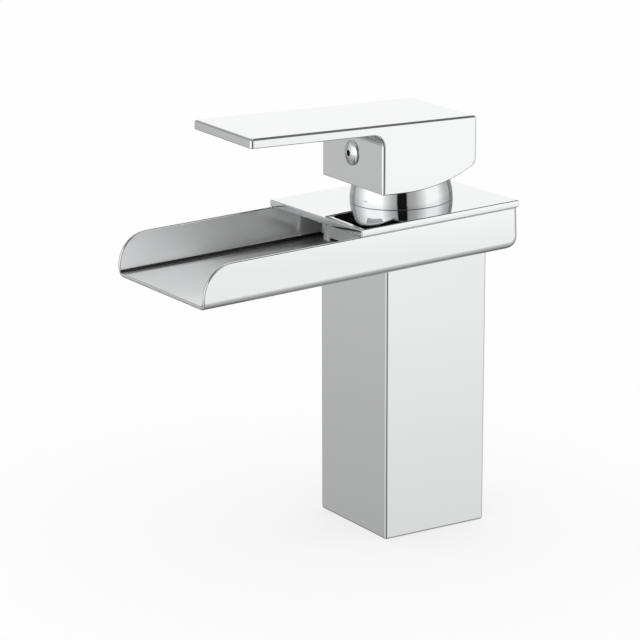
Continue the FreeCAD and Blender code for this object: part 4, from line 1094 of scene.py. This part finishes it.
    def camera(self, settings):
        data = bpy.data.cameras.new("studio_camera")
        camera = bpy.data.objects.new("studio_camera", data)
        bpy.context.scene.collection.objects.link(camera)
        bearing, height = settings.camera_azimuth, settings.camera_elevation
        back = Vector(
            (math.sin(bearing) * math.cos(height), -math.cos(bearing) * math.cos(height), math.sin(height))
        )
        camera.location = Vector(settings.camera_target) + back * settings.camera_distance
        level = (-back).to_track_quat("-Z", "Y")
        camera.rotation_euler = (level @ Quaternion((0, 0, 1), settings.camera_roll)).to_euler()
        data.lens = settings.focal_length
        data.sensor_width = 36
        data.clip_start = 0.01
        bpy.context.scene.camera = camera

    def execute(self, context):
        settings = context.scene.faucet_studio
        self.floor(settings)
        self.world(settings)
        self.camera(settings)
        context.scene.view_settings.view_transform = "Standard"
        return {"FINISHED"}


# ----------------------------------------------------------------------------- add-on
class FAUCET_PT_bench(bpy.types.Panel):
    """Lists the faucet's pieces and their sizes"""

    bl_idname = "FAUCET_PT_bench"
    bl_label = "Basin faucet"
    bl_space_type = "VIEW_3D"
    bl_region_type = "UI"
    bl_category = "Faucet"

    def draw(self, context):
        for group, settings, operators in BENCH:
            box = self.layout.box()
            box.label(text=group)
            chosen = getattr(context.scene, settings)
            for name in chosen.bl_rna.properties.keys():
                if name not in ("rna_type", "name"):
                    box.prop(chosen, name)
            for operator in operators:
                box.operator(operator.bl_idname)


BENCH = [
    ("Finishes", "faucet_finishes", [FAUCET_OT_finishes]),
    ("Body", "faucet_body", [FAUCET_OT_column, FAUCET_OT_trough, FAUCET_OT_cover_plate]),
    ("Bonnet", "faucet_bonnet", [FAUCET_OT_bonnet]),
    ("Lever", "faucet_lever", [FAUCET_OT_lever, FAUCET_OT_screw]),
    ("Studio", "faucet_studio", [FAUCET_OT_studio]),
]
GROUPS = {
    "faucet_finishes": FaucetFinishes,
    "faucet_body": FaucetBodySizes,
    "faucet_bonnet": FaucetBonnetSizes,
    "faucet_lever": FaucetLeverSizes,
    "faucet_studio": FaucetStudio,
}
OPERATORS = [operator for group in BENCH for operator in group[2]]


def register():
    for name, group in GROUPS.items():
        bpy.utils.register_class(group)
        setattr(bpy.types.Scene, name, PointerProperty(type=group))
    for operator in OPERATORS:
        bpy.utils.register_class(operator)
    bpy.utils.register_class(FAUCET_PT_bench)


def unregister():
    bpy.utils.unregister_class(FAUCET_PT_bench)
    for operator in reversed(OPERATORS):
        bpy.utils.unregister_class(operator)
    for name, group in GROUPS.items():
        delattr(bpy.types.Scene, name)
        bpy.utils.unregister_class(group)


def main():
    register()
    bpy.ops.faucet.finishes()
    bpy.ops.faucet.column()
    bpy.ops.faucet.trough()
    bpy.ops.faucet.cover_plate()
    bpy.ops.faucet.bonnet()
    bpy.ops.faucet.lever()
    bpy.ops.faucet.screw()
    bpy.ops.faucet.studio()


if __name__ == "__main__":
    main()
